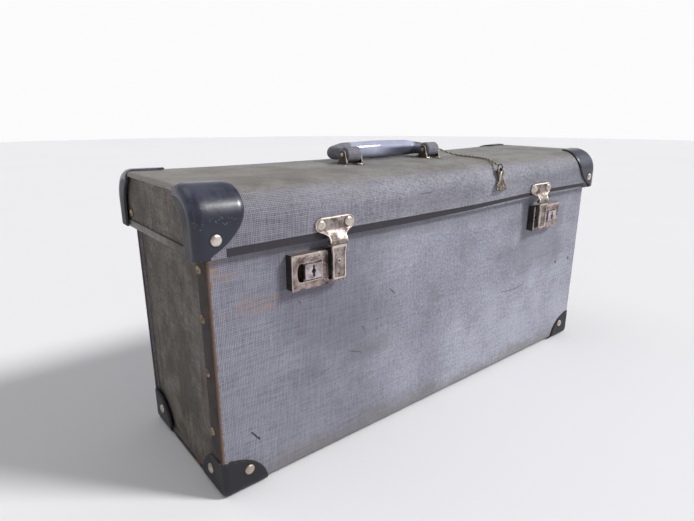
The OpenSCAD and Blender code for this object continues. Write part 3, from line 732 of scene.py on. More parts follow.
def metal_material(name, bright, dull, stain, roughness=0.34, specks=0.6, stain_amount=0.6,
                   metallic=0.9, polished_and_lit_from=None):
    """Old plated metal: cloudy plate, brown tarnish, dark pits and a fine brushed grain.
    Above a given height it is bright: worn by hands, and a painted highlight where the rounded
    top edge catches the sky."""
    paint = Paint(name, roughness, metallic)
    cloud = paint.patches((120, 4, 0.65), 0.35, 0.68)
    paint.colour = paint.mix(cloud, bright, dull)
    tarnish = paint.patches((70, 5, 0.7, 0.6), 0.5, 0.66)
    paint.rub(tarnish, stain, stain_amount)
    paint.rub(paint.worn(0.5, 0.8, 0.3, 500, 3, 0.6), rgb(224, 214, 202), 0.8)
    if polished_and_lit_from:
        # Bright band along the top: hand wear and a painted highlight.
        height = paint.plus(paint.axis(2), paint.ragged(0.0022, 400))
        kept = paint.span(height, (polished_and_lit_from - 1.0) * MM, (polished_and_lit_from + 1.6) * MM)
        paint.rub(kept, rgb(216, 202, 194), 0.75)
    pits = paint.times(paint.span(paint.spots(620), 0.36, 0.18),
                       paint.patches((150, 3), 0.42, 0.56))
    paint.rub(pits, rgb(46, 34, 27), specks)
    paint.rough = paint.span(cloud, 0, 1, roughness, roughness + 0.16, False)
    paint.roughen(pits, 0.3)
    normal = paint.bump(paint.noise((300, 300, 3000), 2, 0.5), 0.00012, 0.3)
    normal = paint.bump(paint.times(pits, -1.0), 0.00025, 0.6, under=normal)
    return paint.done(normal, paint.span(tarnish, 0, 1, metallic, metallic - 0.25, False))


def wood_material(name, light, dark, ply=False):
    """Ply or thin board, its grain along the case: long grain, pores, handling dirt."""
    paint = Paint(name, 0.55, Specular_IOR_Level=0.35)
    grain = paint.noise((9.0, 160.0, 160.0), 5, 0.6, 0.4)
    paint.colour = paint.mix(paint.span(grain, 0.3, 0.7), dark, light)
    pore = paint.patches(((40.0, 900.0, 900.0), 2, 0.5), 0.62, 0.75)
    paint.rub(pore, darker(dark, 0.45), 0.6)
    paint.rub(paint.patches((14, 4, 0.6), 0.5, 0.75), rgb(96, 74, 52), 0.45)
    if ply:
        layers = paint.math("SINE", paint.times(paint.axis(1), 2 * math.pi / 0.001))
        paint.rub(paint.span(layers, 0.2, 0.8), dark, 0.25)
    paint.rough = paint.span(grain, 0.3, 0.7, 0.62, 0.48, False)
    return paint.done(paint.bump(paint.minus(grain, paint.times(pore, 0.6)), 0.0004, 0.5))


def knurl_material():
    """Grey cross-hatched covering of the handle's ends."""
    paint = Paint("knuckle_wrap", 0.55, Specular_IOR_Level=0.4)
    pitch = 0.0012
    across = paint.plus(paint.axis(0), paint.axis(2))

    def hatch(sign):
        turns = paint.times(paint.math("MULTIPLY_ADD", paint.axis(1), sign, across),
                            math.pi / pitch)
        return paint.size(paint.math("SINE", turns))

    height = paint.times(hatch(1.0), hatch(-1.0))
    dirt = paint.patches((150, 4, 0.65), 0.4, 0.7)
    paint.colour = paint.mix(paint.span(height, 0.05, 0.5), rgb(80, 78, 84), rgb(160, 161, 174))
    paint.rub(dirt, rgb(98, 88, 80), 0.5)
    paint.rough = paint.span(dirt, 0, 1, 0.45, 0.65, False)
    return paint.done(paint.bump(height, 0.0004, 0.8))


def grip_material():
    """Glossy pale blue-grey moulding with painted shade underneath and on the right, with waves
    and finger dirt.
    """
    paint = Paint("grip_plastic", 0.16, Specular_IOR_Level=0.6, Coat_Weight=0.5,
                  Coat_Roughness=0.06)
    cloud = paint.patches((45, 4, 0.6), 0.32, 0.7)
    paint.colour = paint.mix(cloud, rgb(186, 190, 216), rgb(166, 170, 194))
    grime = paint.patches((120, 5, 0.7), 0.56, 0.72)
    paint.rub(grime, rgb(132, 130, 138), 0.45)
    low, high = node_box("handle_grip")
    middle_z = (low.z + high.z) / 2
    height = paint.axis(2)
    # Painted shade: the lower half on the right and the underside, where the grip turns from the
    # light.
    shade_on_right = paint.times(paint.span(paint.axis(0), -0.014, 0.014),
                             paint.span(height, (middle_z + 3) * MM, (middle_z + 0.6) * MM))
    underside = paint.span(height, (middle_z - 3) * MM, (low.z + 0.5) * MM)
    paint.rub(paint.highest(shade_on_right, underside), rgb(62, 66, 78), 0.85)
    paint.rub(paint.patches(((40, 900, 900), 3, 0.6), 0.62, 0.75), rgb(190, 192, 208), 0.25)
    paint.rough = paint.span(grime, 0, 1, 0.14, 0.34, False)
    return paint.done(paint.bump(paint.noise(60, 3, 0.5), 0.0008, 0.35))


def braid_material(name, dark, light):
    """Yarn of one strand of the thin key cord."""
    paint = Paint(name, 0.7, Specular_IOR_Level=0.25, Sheen_Weight=0.35)
    yarn = paint.noise((2600, 2600, 2600), 2, 0.6)
    paint.colour = paint.mix(paint.span(yarn, 0.35, 0.65), dark, light)
    paint.rub(paint.patches((240, 2), 0.5, 0.62), rgb(104, 96, 72), 0.4)
    return paint.done(paint.bump(yarn, 0.0002, 0.8))


def inside_material():
    """Plain brown underside of the fibre, seen when the lid is open."""
    paint = Paint("fibre_inside", 0.75, Specular_IOR_Level=0.3)
    cloud = paint.patches((18, 5, 0.6), 0.3, 0.7)
    paint.colour = paint.mix(cloud, rgb(112, 92, 72), rgb(142, 122, 98))
    paint.rub(paint.patches(((500, 120, 120), 3, 0.6), 0.6, 0.75), rgb(88, 70, 54), 0.5)
    return paint.done(paint.bump(paint.noise(500, 3), 0.0002, 0.6))


def hole_shade_material():
    """Dark brown sheet behind a lock's window, its keyhole and the strap's holes: painted shade
    in the hollows.
    """
    paint = Paint("painted_hole_shade", 0.7, 0.3)
    cloud = paint.patches((260, 4, 0.6), 0.35, 0.7)
    paint.colour = paint.mix(cloud, rgb(30, 24, 20), rgb(60, 46, 34))
    return paint.done(paint.bump(paint.noise(500, 3), 0.0002, 0.6))


def floor_material():
    paint = Paint("pale_floor", 0.9, Specular_IOR_Level=0.1)
    paint.colour = paint.mix(paint.noise(1.5, 2), rgb(236, 236, 238), rgb(241, 241, 243))
    return paint.done(paint.bump(paint.noise(30, 2), 0.0005, 0.2))


# For each metal: its bright and dull plate and its stain on a screen, then roughness, how
# strong the specks and the stain are, and how metallic it is where that is not 0.9.
METALS = {
    "brass_rivet": ((222, 214, 206), (176, 164, 152), (128, 104, 78), 0.3, 0.4, 0.4),
    "tube_rivet": ((170, 150, 122), (116, 94, 70), (70, 54, 40), 0.42, 0.5, 0.6),
    "aged_nickel": ((172, 160, 154), (94, 83, 82), (68, 52, 40), 0.44, 0.95, 0.75),
    "bright_edge": ((226, 216, 206), (186, 172, 160), (126, 102, 80), 0.28, 0.5, 0.5),
    "button_nickel": ((208, 198, 204), (150, 138, 144), (112, 92, 78), 0.28, 0.8, 0.5),
    "hinge_steel": ((158, 150, 146), (112, 104, 100), (86, 68, 54), 0.42, 0.6, 0.55),
    "bracket_steel": ((104, 90, 82), (66, 56, 50), (50, 38, 30), 0.46, 0.5, 0.6),
    "key_metal": ((140, 131, 116), (60, 53, 45), (28, 22, 17), 0.36, 0.9, 0.9),
    # Dark, dull metal: the caps' dark cut edges, and painted shade on lock flanks, key sides and
    # the rings round rivet heads.
    "dark_edge_and_shade": ((48, 42, 40), (32, 28, 27), (24, 20, 18), 0.6, 0.4, 0.6, 0.2),
}


def make_materials():
    made = {
        "grey_fibre": fibre_material("grey_fibre", rgb(176, 177, 190), rgb(110, 110, 124),
                                     cloth_places, body_marks, strength=0.66),
        "lid_fibre": fibre_material("lid_fibre", rgb(160, 160, 170), rgb(90, 89, 100),
                                    cloth_places, lid_marks, strength=0.74),
        "end_fibre": fibre_material("end_fibre", rgb(134, 126, 116), rgb(54, 48, 41),
                                    end_places, end_marks, roughness=(0.64, 0.8),
                                    relief=0.0006, strength=1.0),
        "hem_fibre": fibre_material("hem_fibre", rgb(116, 110, 102), rgb(84, 80, 74),
                                    end_places, end_marks, relief=0.0002),
        "inside": inside_material(),
        "foot_black": lacquer_material("foot_black", rgb(27, 25, 31), rgb(108, 104, 108),
                                       0.44, 31.0, 0.05),
        "cap_blue_black": lacquer_material("cap_blue_black", rgb(27, 30, 44),
                                           rgb(150, 150, 166), 0.3, 221.0, 0.35, 229.0),
        "band_dark": lacquer_material("band_dark", rgb(46, 42, 48), rgb(100, 92, 90), 0.6,
                                      196.0, 0.0),
        "lock_nickel": metal_material("lock_nickel", rgb(178, 160, 156), rgb(98, 84, 82),
                                      rgb(72, 53, 38), 0.36, 0.95, 0.8,
                                      polished_and_lit_from=node_box("lock_case_left")[1].z - 2.6),
        "knuckle_wrap": knurl_material(),
        "grip_plastic": grip_material(),
        "cord_braid": braid_material("cord_braid", rgb(150, 140, 104), rgb(212, 202, 164)),
        "cord_dark": braid_material("cord_dark", rgb(42, 38, 28), rgb(82, 76, 56)),
        "tray_wood": wood_material("tray_wood", rgb(196, 160, 116), rgb(146, 108, 70)),
        "rim_board": wood_material("rim_board", rgb(172, 138, 98), rgb(120, 88, 58), True),
        "hole_shade": hole_shade_material(),
        "floor": floor_material(),
    }
    for name, (bright, dull, stain, *rest) in METALS.items():
        made[name] = metal_material(name, rgb(*bright), rgb(*dull), rgb(*stain), *rest)
    return made


# Camera, light and floor -----------------------------------------------------------------

SKY_DIM = 0.32      # brightness of the studio overhead
WALL_NEAR = 0.5     # and of its walls in front of the case
KEY_STRENGTH = 2.8


def add_camera():
    """The photograph's viewpoint: in front of the left end, a little above the lid."""
    data = bpy.data.cameras.new("camera")
    data.sensor_fit = "HORIZONTAL"
    data.sensor_width = 36.0
    data.lens = 26.56
    data.clip_start = 0.02
    camera = new_object("camera", data)
    yaw, pitch, roll = 0.676, 0.286, -0.002
    forward = Vector((math.sin(yaw) * math.cos(pitch), math.cos(yaw) * math.cos(pitch),
                      -math.sin(pitch)))
    right = Vector((math.cos(yaw), -math.sin(yaw), 0))
    up = right.cross(forward)
    turned_right = right * math.cos(roll) + up * math.sin(roll)
    turned_up = up * math.cos(roll) - right * math.sin(roll)
    axes = Matrix((turned_right, turned_up, -forward)).transposed()
    camera.matrix_world = Matrix.Translation((-0.3821, -0.3894, 0.2909)) @ axes.to_4x4()
    bpy.context.scene.camera = camera


def area_light(name, place, aim, size, power):
    data = bpy.data.lights.new(name, "AREA")
    data.shape = "RECTANGLE"
    data.size, data.size_y = size
    data.energy = power
    light = new_object(name, data)
    light.location = place
    light.rotation_euler = (Vector(aim) - Vector(place)).to_track_quat("-Z", "Y").to_euler()


def sun_light(name, toward, strength, spread):
    """Even light from one side; spread is how soft its shadows are, in degrees."""
    data = bpy.data.lights.new(name, "SUN")
    data.energy = strength
    data.angle = math.radians(spread)
    light = new_object(name, data)
    light.rotation_euler = Vector(toward).to_track_quat("Z", "Y").to_euler()


def add_light():
    """A dim studio whose walls are pale, most of all behind the case; a key light from the
    right and above; and a strip on the left that draws highlights down the caps."""
    world = bpy.data.worlds.new("studio")
    bpy.context.scene.world = world
    world.use_nodes = True
    tree = world.node_tree
    place = wire(tree, "ShaderNodeTexCoord", "Generated", {})
    behind = wire(tree, "ShaderNodeVectorMath", "Value", {0: place, 1: (0.63, 0.78, 0.0)},
                  operation="DOT_PRODUCT")
    walls = wire(tree, "ShaderNodeValToRGB", 0, {0: behind})
    near, far = walls.node.color_ramp.elements
    near.position, far.position = 0.0, 0.5
    near.color = (WALL_NEAR, WALL_NEAR, WALL_NEAR * 1.02, 1)
    far.color = (0.97, 0.97, 0.98, 1)
    height = wire(tree, "ShaderNodeMapRange", 0, {
        "Value": wire(tree, "ShaderNodeSeparateXYZ", 2, {0: place}), "From Min": 0.18,
        "From Max": 0.45}, interpolation_type="SMOOTHSTEP")
    sky = wire(tree, "ShaderNodeMix", 2, {
        0: height, 6: walls, 7: (SKY_DIM, SKY_DIM, SKY_DIM * 1.03, 1)}, data_type="RGBA")
    tree.links.new(sky, tree.nodes["Background"].inputs["Color"])
    sun_light("key", (1.15, -1.12, 1.27), KEY_STRENGTH, 12)
    sun_light("back_top", (-0.5, 0.6, 1.5), 0.3, 40)
    area_light("left_strip", (-1.5, -0.75, 0.45), (-0.25, -0.08, 0.2), (0.12, 0.8), 0.8)
    bpy.context.scene.view_settings.view_transform = "Standard"


def add_floor(material):
    """A broad pale floor that dips away far from the case."""
    bm = bmesh.new()
    bmesh.ops.create_grid(bm, x_segments=24, y_segments=24, size=9.0)
    for vert in bm.verts:
        far = max(vert.co.xy.length - 5.0, 0.0)
        vert.co.z = -0.02 * far * far
    mesh = bpy.data.meshes.new("floor")
    bm.to_mesh(mesh)
    bm.free()
    mesh.materials.append(material)
    new_object("floor", mesh)


# Key cord, ring and keys --------------------------------------------------------------------

CORD_ROUTE = [
    (59.5, 3.0, 249.5), (62.0, 2.9, 249.3), (65.0, 2.3, 248.6), (68.6, 1.0, 247.3),
    (72.4, -1.6, 245.5), (76.0, -5.6, 243.7), (79.0, -11.0, 242.4), (80.8, -17.6, 241.9),
    (81.0, -25.0, 241.8), (79.9, -32.0, 241.8), (78.2, -39.5, 241.8), (76.2, -46.5, 241.8),
    (73.8, -52.5, 241.8), (71.4, -57.5, 241.8), (69.4, -62.0, 241.3), (67.8, -66.4, 240.3),
    (66.5, -70.6, 239.0), (65.4, -74.4, 237.9), (64.7, -77.4, 237.4),
]
CORD_R = 1.0


def smooth_path(points, per_step):
    """A Catmull-Rom curve through the points."""
    points = [Vector(p) for p in points]
    ends = [points[0] * 2 - points[1]] + points + [points[-1] * 2 - points[-2]]
    path = []
    for i in range(1, len(ends) - 2):
        a, b, c, d = ends[i - 1: i + 3]
        for k in range(per_step):
            t = k / per_step
            path.append(0.5 * (2 * b + (c - a) * t + (2 * a - 5 * b + 4 * c - d) * t * t
                               + (3 * b - a - 3 * c + d) * t ** 3))
    return path + [points[-1]]


def make_cord():
    """Three twisted strands along the cord's route."""
    path = smooth_path(CORD_ROUTE, 8)
    strands = 3
    strand_r = CORD_R * 0.5
    lay_length = 6.0
    runs = [0.0]
    for a, b in zip(path, path[1:]):
        runs.append(runs[-1] + (b - a).length)
    parts = []
    for s in range(strands):
        helix = []
        for (p, side, up), run in zip(along_path(path), runs):
            turn = 2 * math.pi * (run / lay_length + s / strands)
            helix.append(p + (side * math.cos(turn) + up * math.sin(turn)) * strand_r)
        parts.append(swept_tube(helix, strand_r, 8))
    each = len(parts[0][1])
    colours = [1] * each + [0] * (each * (strands - 1))
    cord = mesh_piece("key_cord_braid", *joined(parts), "lid", ["key_cord"], "cord_braid",
                      [looks["cord_braid"], looks["cord_dark"]], 80, colours)
    return cord, path, runs[-1]


def make_keys():
    """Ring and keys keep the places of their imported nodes, with rounded edges."""
    wire_ring = softened("key_ring", 0.05, "key_metal", name="key_ring_wire")
    keys = softened("keys", 0.16, "key_metal", "bright_edge", "keys_cut")
    # The keys' sides take the dark material: painted shade on their edges.
    mark_facing(keys, looks["dark_edge_and_shade"], lambda normal, place: abs(normal.y) < 0.7)
    return [wire_ring, keys]


def add_cord_and_keys():
    cord, path, length = make_cord()
    route = [tuple(p * MM) for p in path]
    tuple(route[0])
    make_keys()


# Body ------------------------------------------------------------------------------------


def whole_profile(half):
    """Half a profile and its mirror image, each place with its length along the cloth."""
    places = half + [(-y, z, -ny, nz) for y, z, ny, nz in reversed(half[:-1])]
    run, lengths = 0.0, [0.0]
    for a, b in zip(places, places[1:]):
        run += math.hypot(b[0] - a[0], b[1] - a[1])
        lengths.append(run)
    return [p + (s,) for p, s in zip(places, lengths)]


def body_profile():
    """Places on the outside of the body in Y and Z with their outward direction and the
    length along the cloth, from the front rim under the floor to the rear rim."""
    flap_top = rivets_high.z + 7
    flap_low = BODY_LOW + BODY_R
    heights = [RIM_Z, flap_top + 0.02, flap_top] + steps(flap_top, flap_low + 0.02, 24)[1:]
    heights += [flap_low]
    front = [(-HALF_D, z, -1.0, 0.0) for z in heights]
    turn = [
        (-HALF_D + BODY_R - BODY_R * math.cos(a), BODY_LOW + BODY_R - BODY_R * math.sin(a),
         -math.cos(a), -math.sin(a))
        for a in steps(0, math.pi / 2, 8)[1:]
    ]
    floor = [(y, BODY_LOW, 0.0, -1.0) for y in steps(-HALF_D + BODY_R, 0, 6)[1:]]
    return whole_profile(front + turn + floor), flap_low, flap_top


def end_columns(end_x, panel_x, corner, depth):
    """How the cloth turns at an end: pairs of X and inward depth, from inside outward.
    Under a cap the corner is rounder than the lip is deep, and the lip ends on the arc."""
    edge = 0.5
    if corner < depth:
        cols = [(end_x - edge, depth), (end_x - 0.12, depth - 0.12), (end_x, depth - edge),
                (end_x, lerp(depth - edge, corner, 0.5))]
        turns = steps(math.pi / 2, 0, 4)
    else:
        widest = math.acos(1 - depth / corner)
        cols = [(end_x - corner + corner * math.sin(widest) - edge, depth)]
        turns = steps(widest, 0, 7)
    for a in turns:
        cols.append((end_x - corner + corner * math.sin(a), corner - corner * math.cos(a)))
    return [(panel_x + 0.5, depth)] + cols


def body_corner(y, z):
    """Radius of the cloth's end corners: larger where the foot caps cover them."""
    plain = 1.7 if y < -HALF_D + 0.01 else 0.9
    if BODY_R + BODY_LOW < z:
        return lerp(6.4, plain, smoothstep((z - foot_high.z + 7) / 5))
    return lerp(plain, 6.4, smoothstep((abs(y) - HALF_D + 37) / 5))


def make_body_wrap():
    """Front, floor and back in one bent sheet, folded round onto the ends at the front."""
    profile, flap_low, flap_top = body_profile()
    outer, inner, cloth, wear = [], [], [], []
    middle = steps(-HALF_W + 4, HALF_W - 4, 62)
    for y, z, ny, nz, run in profile:
        on_front = y <= -HALF_D + 0.01 and flap_low < z < flap_top + 0.01
        depth = FLAP if on_front else WALL
        corner = body_corner(y, z)
        right = end_columns(HALF_W, PANEL_X, corner, depth)
        cols = [(-x, d) for x, d in right] + [(x, 0.0) for x in middle] + right[::-1]
        outer_row, inner_row, cloth_row, wear_row = [], [], [], []
        for x, d in cols:
            wave = 0.22 * noise.noise(Vector((x / 90, y / 60, z / 70))) * (1 if d == 0 else 0)
            outer_row.append((x, y - ny * (d - wave), z - nz * (d - wave)))
            if d == 0 and abs(x) < HALF_W - 3:
                inner_x = x if abs(x) < PANEL_X - 1 else math.copysign(PANEL_X - 1, x)
                inner_row.append((inner_x, y - ny * WALL, z - nz * WALL))
            else:
                inner_row.append((math.copysign(PANEL_X - 1, x), y - ny * max(d, WALL),
                                  z - nz * max(d, WALL)))
            cloth_row.append((x + math.copysign(d, x), run, 0.0))
            near = max(0.0, 1 - abs(HALF_W - 0.9 - abs(x) + d) / 2.2)
            rough_lip = 0.42 if (not on_front and d > 0.9) else 0.0
            wear_row.append(max(near if d < 1.2 else 0.0, rough_lip))
        outer.append(outer_row)
        inner.append(inner_row)
        cloth += cloth_row
        wear += wear_row
    sheet_piece("body_sheet", outer, inner, "case", "body_wrap", looks["grey_fibre"],
                looks["inside"], cloth, wear)


def make_body_ends():
    """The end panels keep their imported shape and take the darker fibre."""
    for side in SIDES:
        node = frame["nodes"]["body_end_" + side]
        node.data.materials.clear()
        node.data.materials.append(looks["end_fibre"])


def make_collar():
    softened("inner_collar", 0.5, "rim_board")
    for side in SIDES:
        softened("tray_cleat_" + side, 0.6, "tray_wood")


# Corner caps ---------------------------------------------------------------------------------


RIM_GAPS = [0.0, 0.15, 0.45, 0.9]      # rows and columns that draw a cap's rolled rim


def rim_height(gap, width=0.9):
    """Rise of a cap's rolled edge, from 0 at its rim to 1."""
    t = min(max(gap / width, 0.0), 1.0)
    return math.sqrt(max(0.0, 1 - (1 - t) ** 2))


def cap_mesh(rows, end_x, corner, flaps, thick, side_x, side_y, lift):
    """A formed corner cap. Each row holds a place (y, z), its outward direction, the reach
    along X and the distance to the nearer end of the rows; flaps holds, for each row, the
    place where the end flap stops."""
    outer, inner, wear = [], [], []
    for (y, z, ny, nz, reach, row_gap), (flap_y, flap_z) in zip(rows, flaps):
        out_row, in_row, wear_row = [], [], []
        sink = -0.35

        def add(x, depth, gap, worn):
            rise = thick * min(rim_height(gap), rim_height(row_gap))
            for row, height in ((out_row, rise), (in_row, sink)):
                row.append((x, y + ny * (height - depth), z + nz * (height - depth)))
            wear_row.append(worn)

        reach = max(reach, corner + 1.6)
        for gap in RIM_GAPS:
            add(end_x - reach + gap, 0.0, gap, 0.0)
        for t in steps(0, 1, 8)[1:]:
            x = lerp(end_x - reach + 0.9, end_x + thick - corner, t)
            add(x, 0.0, 9, 0.25)
        for a in steps(0, math.pi / 2, 7)[1:]:
            depth = corner - corner * math.cos(a)
            rise = thick * rim_height(row_gap)
            x = end_x - corner + corner * math.sin(a)
            out_row.append((x + rise, y + ny * (rise - depth), z + nz * (rise - depth)))
            in_row.append((x + sink * math.sin(a), y + ny * (sink * math.cos(a) - depth),
                           z + nz * (sink * math.cos(a) - depth)))
            wear_row.append(0.45)
        start_y, start_z = out_row[-1][1], out_row[-1][2]
        span = math.hypot(flap_y - start_y, flap_z - start_z)
        for t in (0.25, 0.5, 0.75, 1 - 0.9 / max(span, 2), 1 - 0.4 / max(span, 2), 1.0):
            gap = span * (1 - t)
            height = thick * min(rim_height(gap), rim_height(row_gap))
            place = (lerp(start_y, flap_y, t), lerp(start_z, flap_z, t))
            out_row.append((end_x + height, place[0], place[1]))
            in_row.append((end_x + sink, place[0], place[1]))
            wear_row.append(0.0 if gap < 0.9 else 0.3)
        outer.append(out_row)
        inner.append(in_row)
        wear += wear_row

    def placed(p):
        point = (p[0] * side_x, p[1] * side_y, p[2])
        return lift_point(point) if lift else point

    outer = [[placed(p) for p in row] for row in outer]
    inner = [[placed(p) for p in row] for row in inner]
    verts, faces = closed_shell(outer, inner)
    cols = len(outer[0]) - 1
    quads = (len(outer) - 1) * cols
    # Rim rows and columns and the cut edges take the dark material: dark cut edges with painted
    # shade along them. The end flap takes the matte foot lacquer.
    places = []
    for i in range(len(faces)):
        row, col = divmod(i, cols)
        if i >= 2 * quads or (i < quads and (col < 3 or row < 3)):
            places.append(1)
        else:
            places.append(2 if col >= cols - 6 else 0)
    return verts, faces, wear + [0.0] * len(wear), places


def lid_cap_rows():
    """Rows of a lid cap from the seam up the front and over the rounding onto the top."""
    straight = LID_H - LID_R
    turn = LID_R * math.pi / 2
    on_top = 6.0
    total = straight + turn + on_top
    widest_at = straight + LID_R * math.asin((LID_H - 10 - straight) / LID_R)
    reach_max = lid_cap_high.x - lid_cap_low.x - CAP_T
    marks = RIM_GAPS + steps(2.0, straight, 9)
    marks += steps(straight, straight + turn, 18)[1:]
    marks += [total - gap for gap in [4, 2] + RIM_GAPS[::-1]]
    corner = 8.0
    rows, flaps = [], []
    for s in marks:
        angle = min(max((s - straight) / LID_R, 0.0), math.pi / 2)
        ny, nz = -math.cos(angle), math.sin(angle)
        y = -LID_Y + LID_R + LID_R * ny + max(0.0, s - straight - turn)
        z = SEAM_Z + min(s, straight) + LID_R * nz
        if s <= widest_at:
            share = math.asin(min(1.0, 1 - (z - SEAM_Z) / (LID_H - 10)))
            reach = reach_max * math.cos(share) ** 1.4
        else:
            t = (s - widest_at) / (total - widest_at)
            reach = reach_max - 12 * (1 - math.sqrt(max(0.0, 1 - t ** 2.2)))
        rows.append((y, z, ny, nz, reach, min(s, total - s)))
        w = s / total
        flaps.append((-LID_Y + 17.5 + 14.5 * w ** 4,
                      lerp(SEAM_Z, LID_TOP + CAP_T - corner, w)))
    return rows, flaps, corner


def foot_cap_rows():
    """Rows of a foot cap from the front down round the bottom edge and in underneath."""
    reach_x = foot_high.x - foot_low.x - CAP_T
    height = foot_high.z - BODY_LOW
    straight = height - BODY_R
    turn = BODY_R * math.pi / 2
    under = reach_x - BODY_R
    total = straight + turn + under
    corner = 6.0
    marks = RIM_GAPS + steps(2.0, straight, 9)
    marks += steps(straight, straight + turn, 9)[1:]
    marks += steps(straight + turn, total - 2, 8)[1:]
    marks += [total - gap for gap in RIM_GAPS[::-1]]
    rows, flaps = [], []
    for s in marks:
        angle = min(max((s - straight) / BODY_R, 0.0), math.pi / 2)
        ny, nz = -math.cos(angle), -math.sin(angle)
        inward = max(0.0, s - straight - turn)
        y = -HALF_D + BODY_R + BODY_R * ny + inward
        z = BODY_LOW + BODY_R + max(0.0, straight - s) + BODY_R * nz
        up_share = min(1.0, max(0.0, (z - BODY_LOW) / height))
        in_share = min(1.0, max(0.0, (y + HALF_D) / reach_x))
        reach = reach_x * math.sqrt(max(0.0, 1 - max(up_share, in_share) ** 2))
        rows.append((y, z, ny, nz, reach, min(s, total - s)))
        w = s / total * math.pi / 2
        flaps.append((-HALF_D + corner + (reach_x - corner) * math.sin(w),
                      BODY_LOW + corner + (height - corner) * math.cos(w)))
    return rows, flaps, corner


def make_caps():
    for name, rows, flaps, corner, end_x, material, body, lift in (
        ("lid_cap",) + lid_cap_rows() + (LID_X, "cap_blue_black", "lid", True),
        ("foot_cap",) + foot_cap_rows() + (HALF_W, "foot_black", "case", False),
    ):
        for side_y, depth in ((1, "front"), (-1, "back")):
            for side_x, side in ((-1, "left"), (1, "right")):
                node = f"{name}_{depth}_{side}"
                verts, faces, wear, places = cap_mesh(rows, end_x, corner, flaps, CAP_T,
                                                      side_x, side_y, lift)
                mesh_piece(node + "_formed", verts, faces, body, [node], material,
                           [looks[material], looks["dark_edge_and_shade"], looks["foot_black"]], 45,
                           places, wear=wear)


# Rivets -----------------------------------------------------------------------------------

RIVET_SIDES = 28


def rivet_shape(centre, axis, out, radius, height, seed, hollow=False):
    """A hammered rivet head: a low dome with a soft rim, slightly uneven."""
    if hollow:
        section = [(0.0, -0.3), (0.34, -0.28), (0.40, 0.45), (0.55, 0.95), (0.78, 0.9),
                   (0.95, 0.45), (1.0, 0.0)]
    else:
        section = [(math.sin(a), math.cos(a)) for a in steps(0, math.pi / 2, 7)]
        section = [(r, h ** 0.85 if h > 0 else 0.0) for r, h in section]
    sides = RIVET_SIDES
    verts = []
    side = axis.orthogonal().normalized()
    up = axis.cross(side)
    for r, h in section + [(1.0, 0.03), (1.14, 0.02), (1.14, -0.2)]:
        for k in range(sides):
            turn = 2 * math.pi * k / sides
            spread = side * math.cos(turn) + up * math.sin(turn)
            dent = 0.1 * noise.noise(spread * (1.2 * r) + Vector((seed * 3.7, 0, 0)))
            tall = h * (1 + dent) if h > 0 else h
            verts.append(centre + spread * (r * radius * (1 - abs(dent) * 0.35))
                         + axis * out * tall * height)
    faces = ring_faces(len(verts) // sides, sides)
    faces.append(tuple(range(len(verts) - sides, len(verts))))
    return verts, faces


def make_rivets():
    """Every rivet node again, one head for each of its solids."""
    for node, material, slot, hollow, lifted in (
        ("foot_cap_rivets", "brass_rivet", "brass_rivet", False, False),
        ("lid_cap_rivets", "brass_rivet", "brass_rivet", False, True),
        ("body_end_rivets", "tube_rivet", "tube_rivet", True, False),
        ("lid_end_rivets", "tube_rivet", "tube_rivet", True, True),
        ("body_front_rivets", "aged_nickel", "aged_nickel", False, False),
        ("hasp_rivets", "bright_edge", "aged_nickel", False, False),
        ("handle_rivets", "brass_rivet", "brass_rivet", False, False),
        ("hinge_body_rivets", "hinge_steel", "hinge_steel", False, False),
        ("hinge_lid_rivets", "hinge_steel", "hinge_steel", False, False),
    ):
        parts = []
        for seed, (low, high) in enumerate(islands(node)):
            size = high - low
            thin = min(range(3), key=lambda i: size[i])
            axis = Vector((0, 0, 0))
            axis[thin] = 1.0
            middle = (low + high) / 2
            out = 1.0 if middle[thin] > 0 else -1.0
            base = Vector(middle)
            base[thin] = low[thin] if out > 0 else high[thin]
            if lifted:
                base.z += lid_lift(base.x, base.z)
            parts.append(rivet_shape(base, axis, out, max(size) / 2, size[thin], seed, hollow))
        each = len(parts[0][1])
        # The flat flare round each head and its underside take the dark material: a painted
        # shade ring where the rivet meets the sheet.
        dark = 1 + 3 * RIVET_SIDES
        colours = ([0] * (each - dark) + [1] * dark) * len(parts)
        mesh_piece(node + "_domed", *joined(parts), body_of(node), [node], slot,
                   [looks[material], looks["dark_edge_and_shade"]], 60, colours)


# Lid -------------------------------------------------------------------------------------


def lid_profile():
    """Outside of the lid in Y and Z, from its front edge over the top to the rear edge."""
    straight = LID_H - LID_R
    band = band_high.z - SEAM_Z
    rises = [0.0, band - 0.02, band] + steps(band, straight, 5)[1:]
    front = [(-LID_Y, SEAM_Z + s, -1.0, 0.0) for s in rises]
    turn = [
        (-LID_Y + LID_R - LID_R * math.cos(a), LID_TOP - LID_R + LID_R * math.sin(a),
         -math.cos(a), math.sin(a))
        for a in steps(0, math.pi / 2, 16)[1:]
    ]
    top = [(y, LID_TOP, 0.0, 1.0) for y in steps(-LID_Y + LID_R, 0, 8)[1:]]
    return whole_profile(front + turn + top)


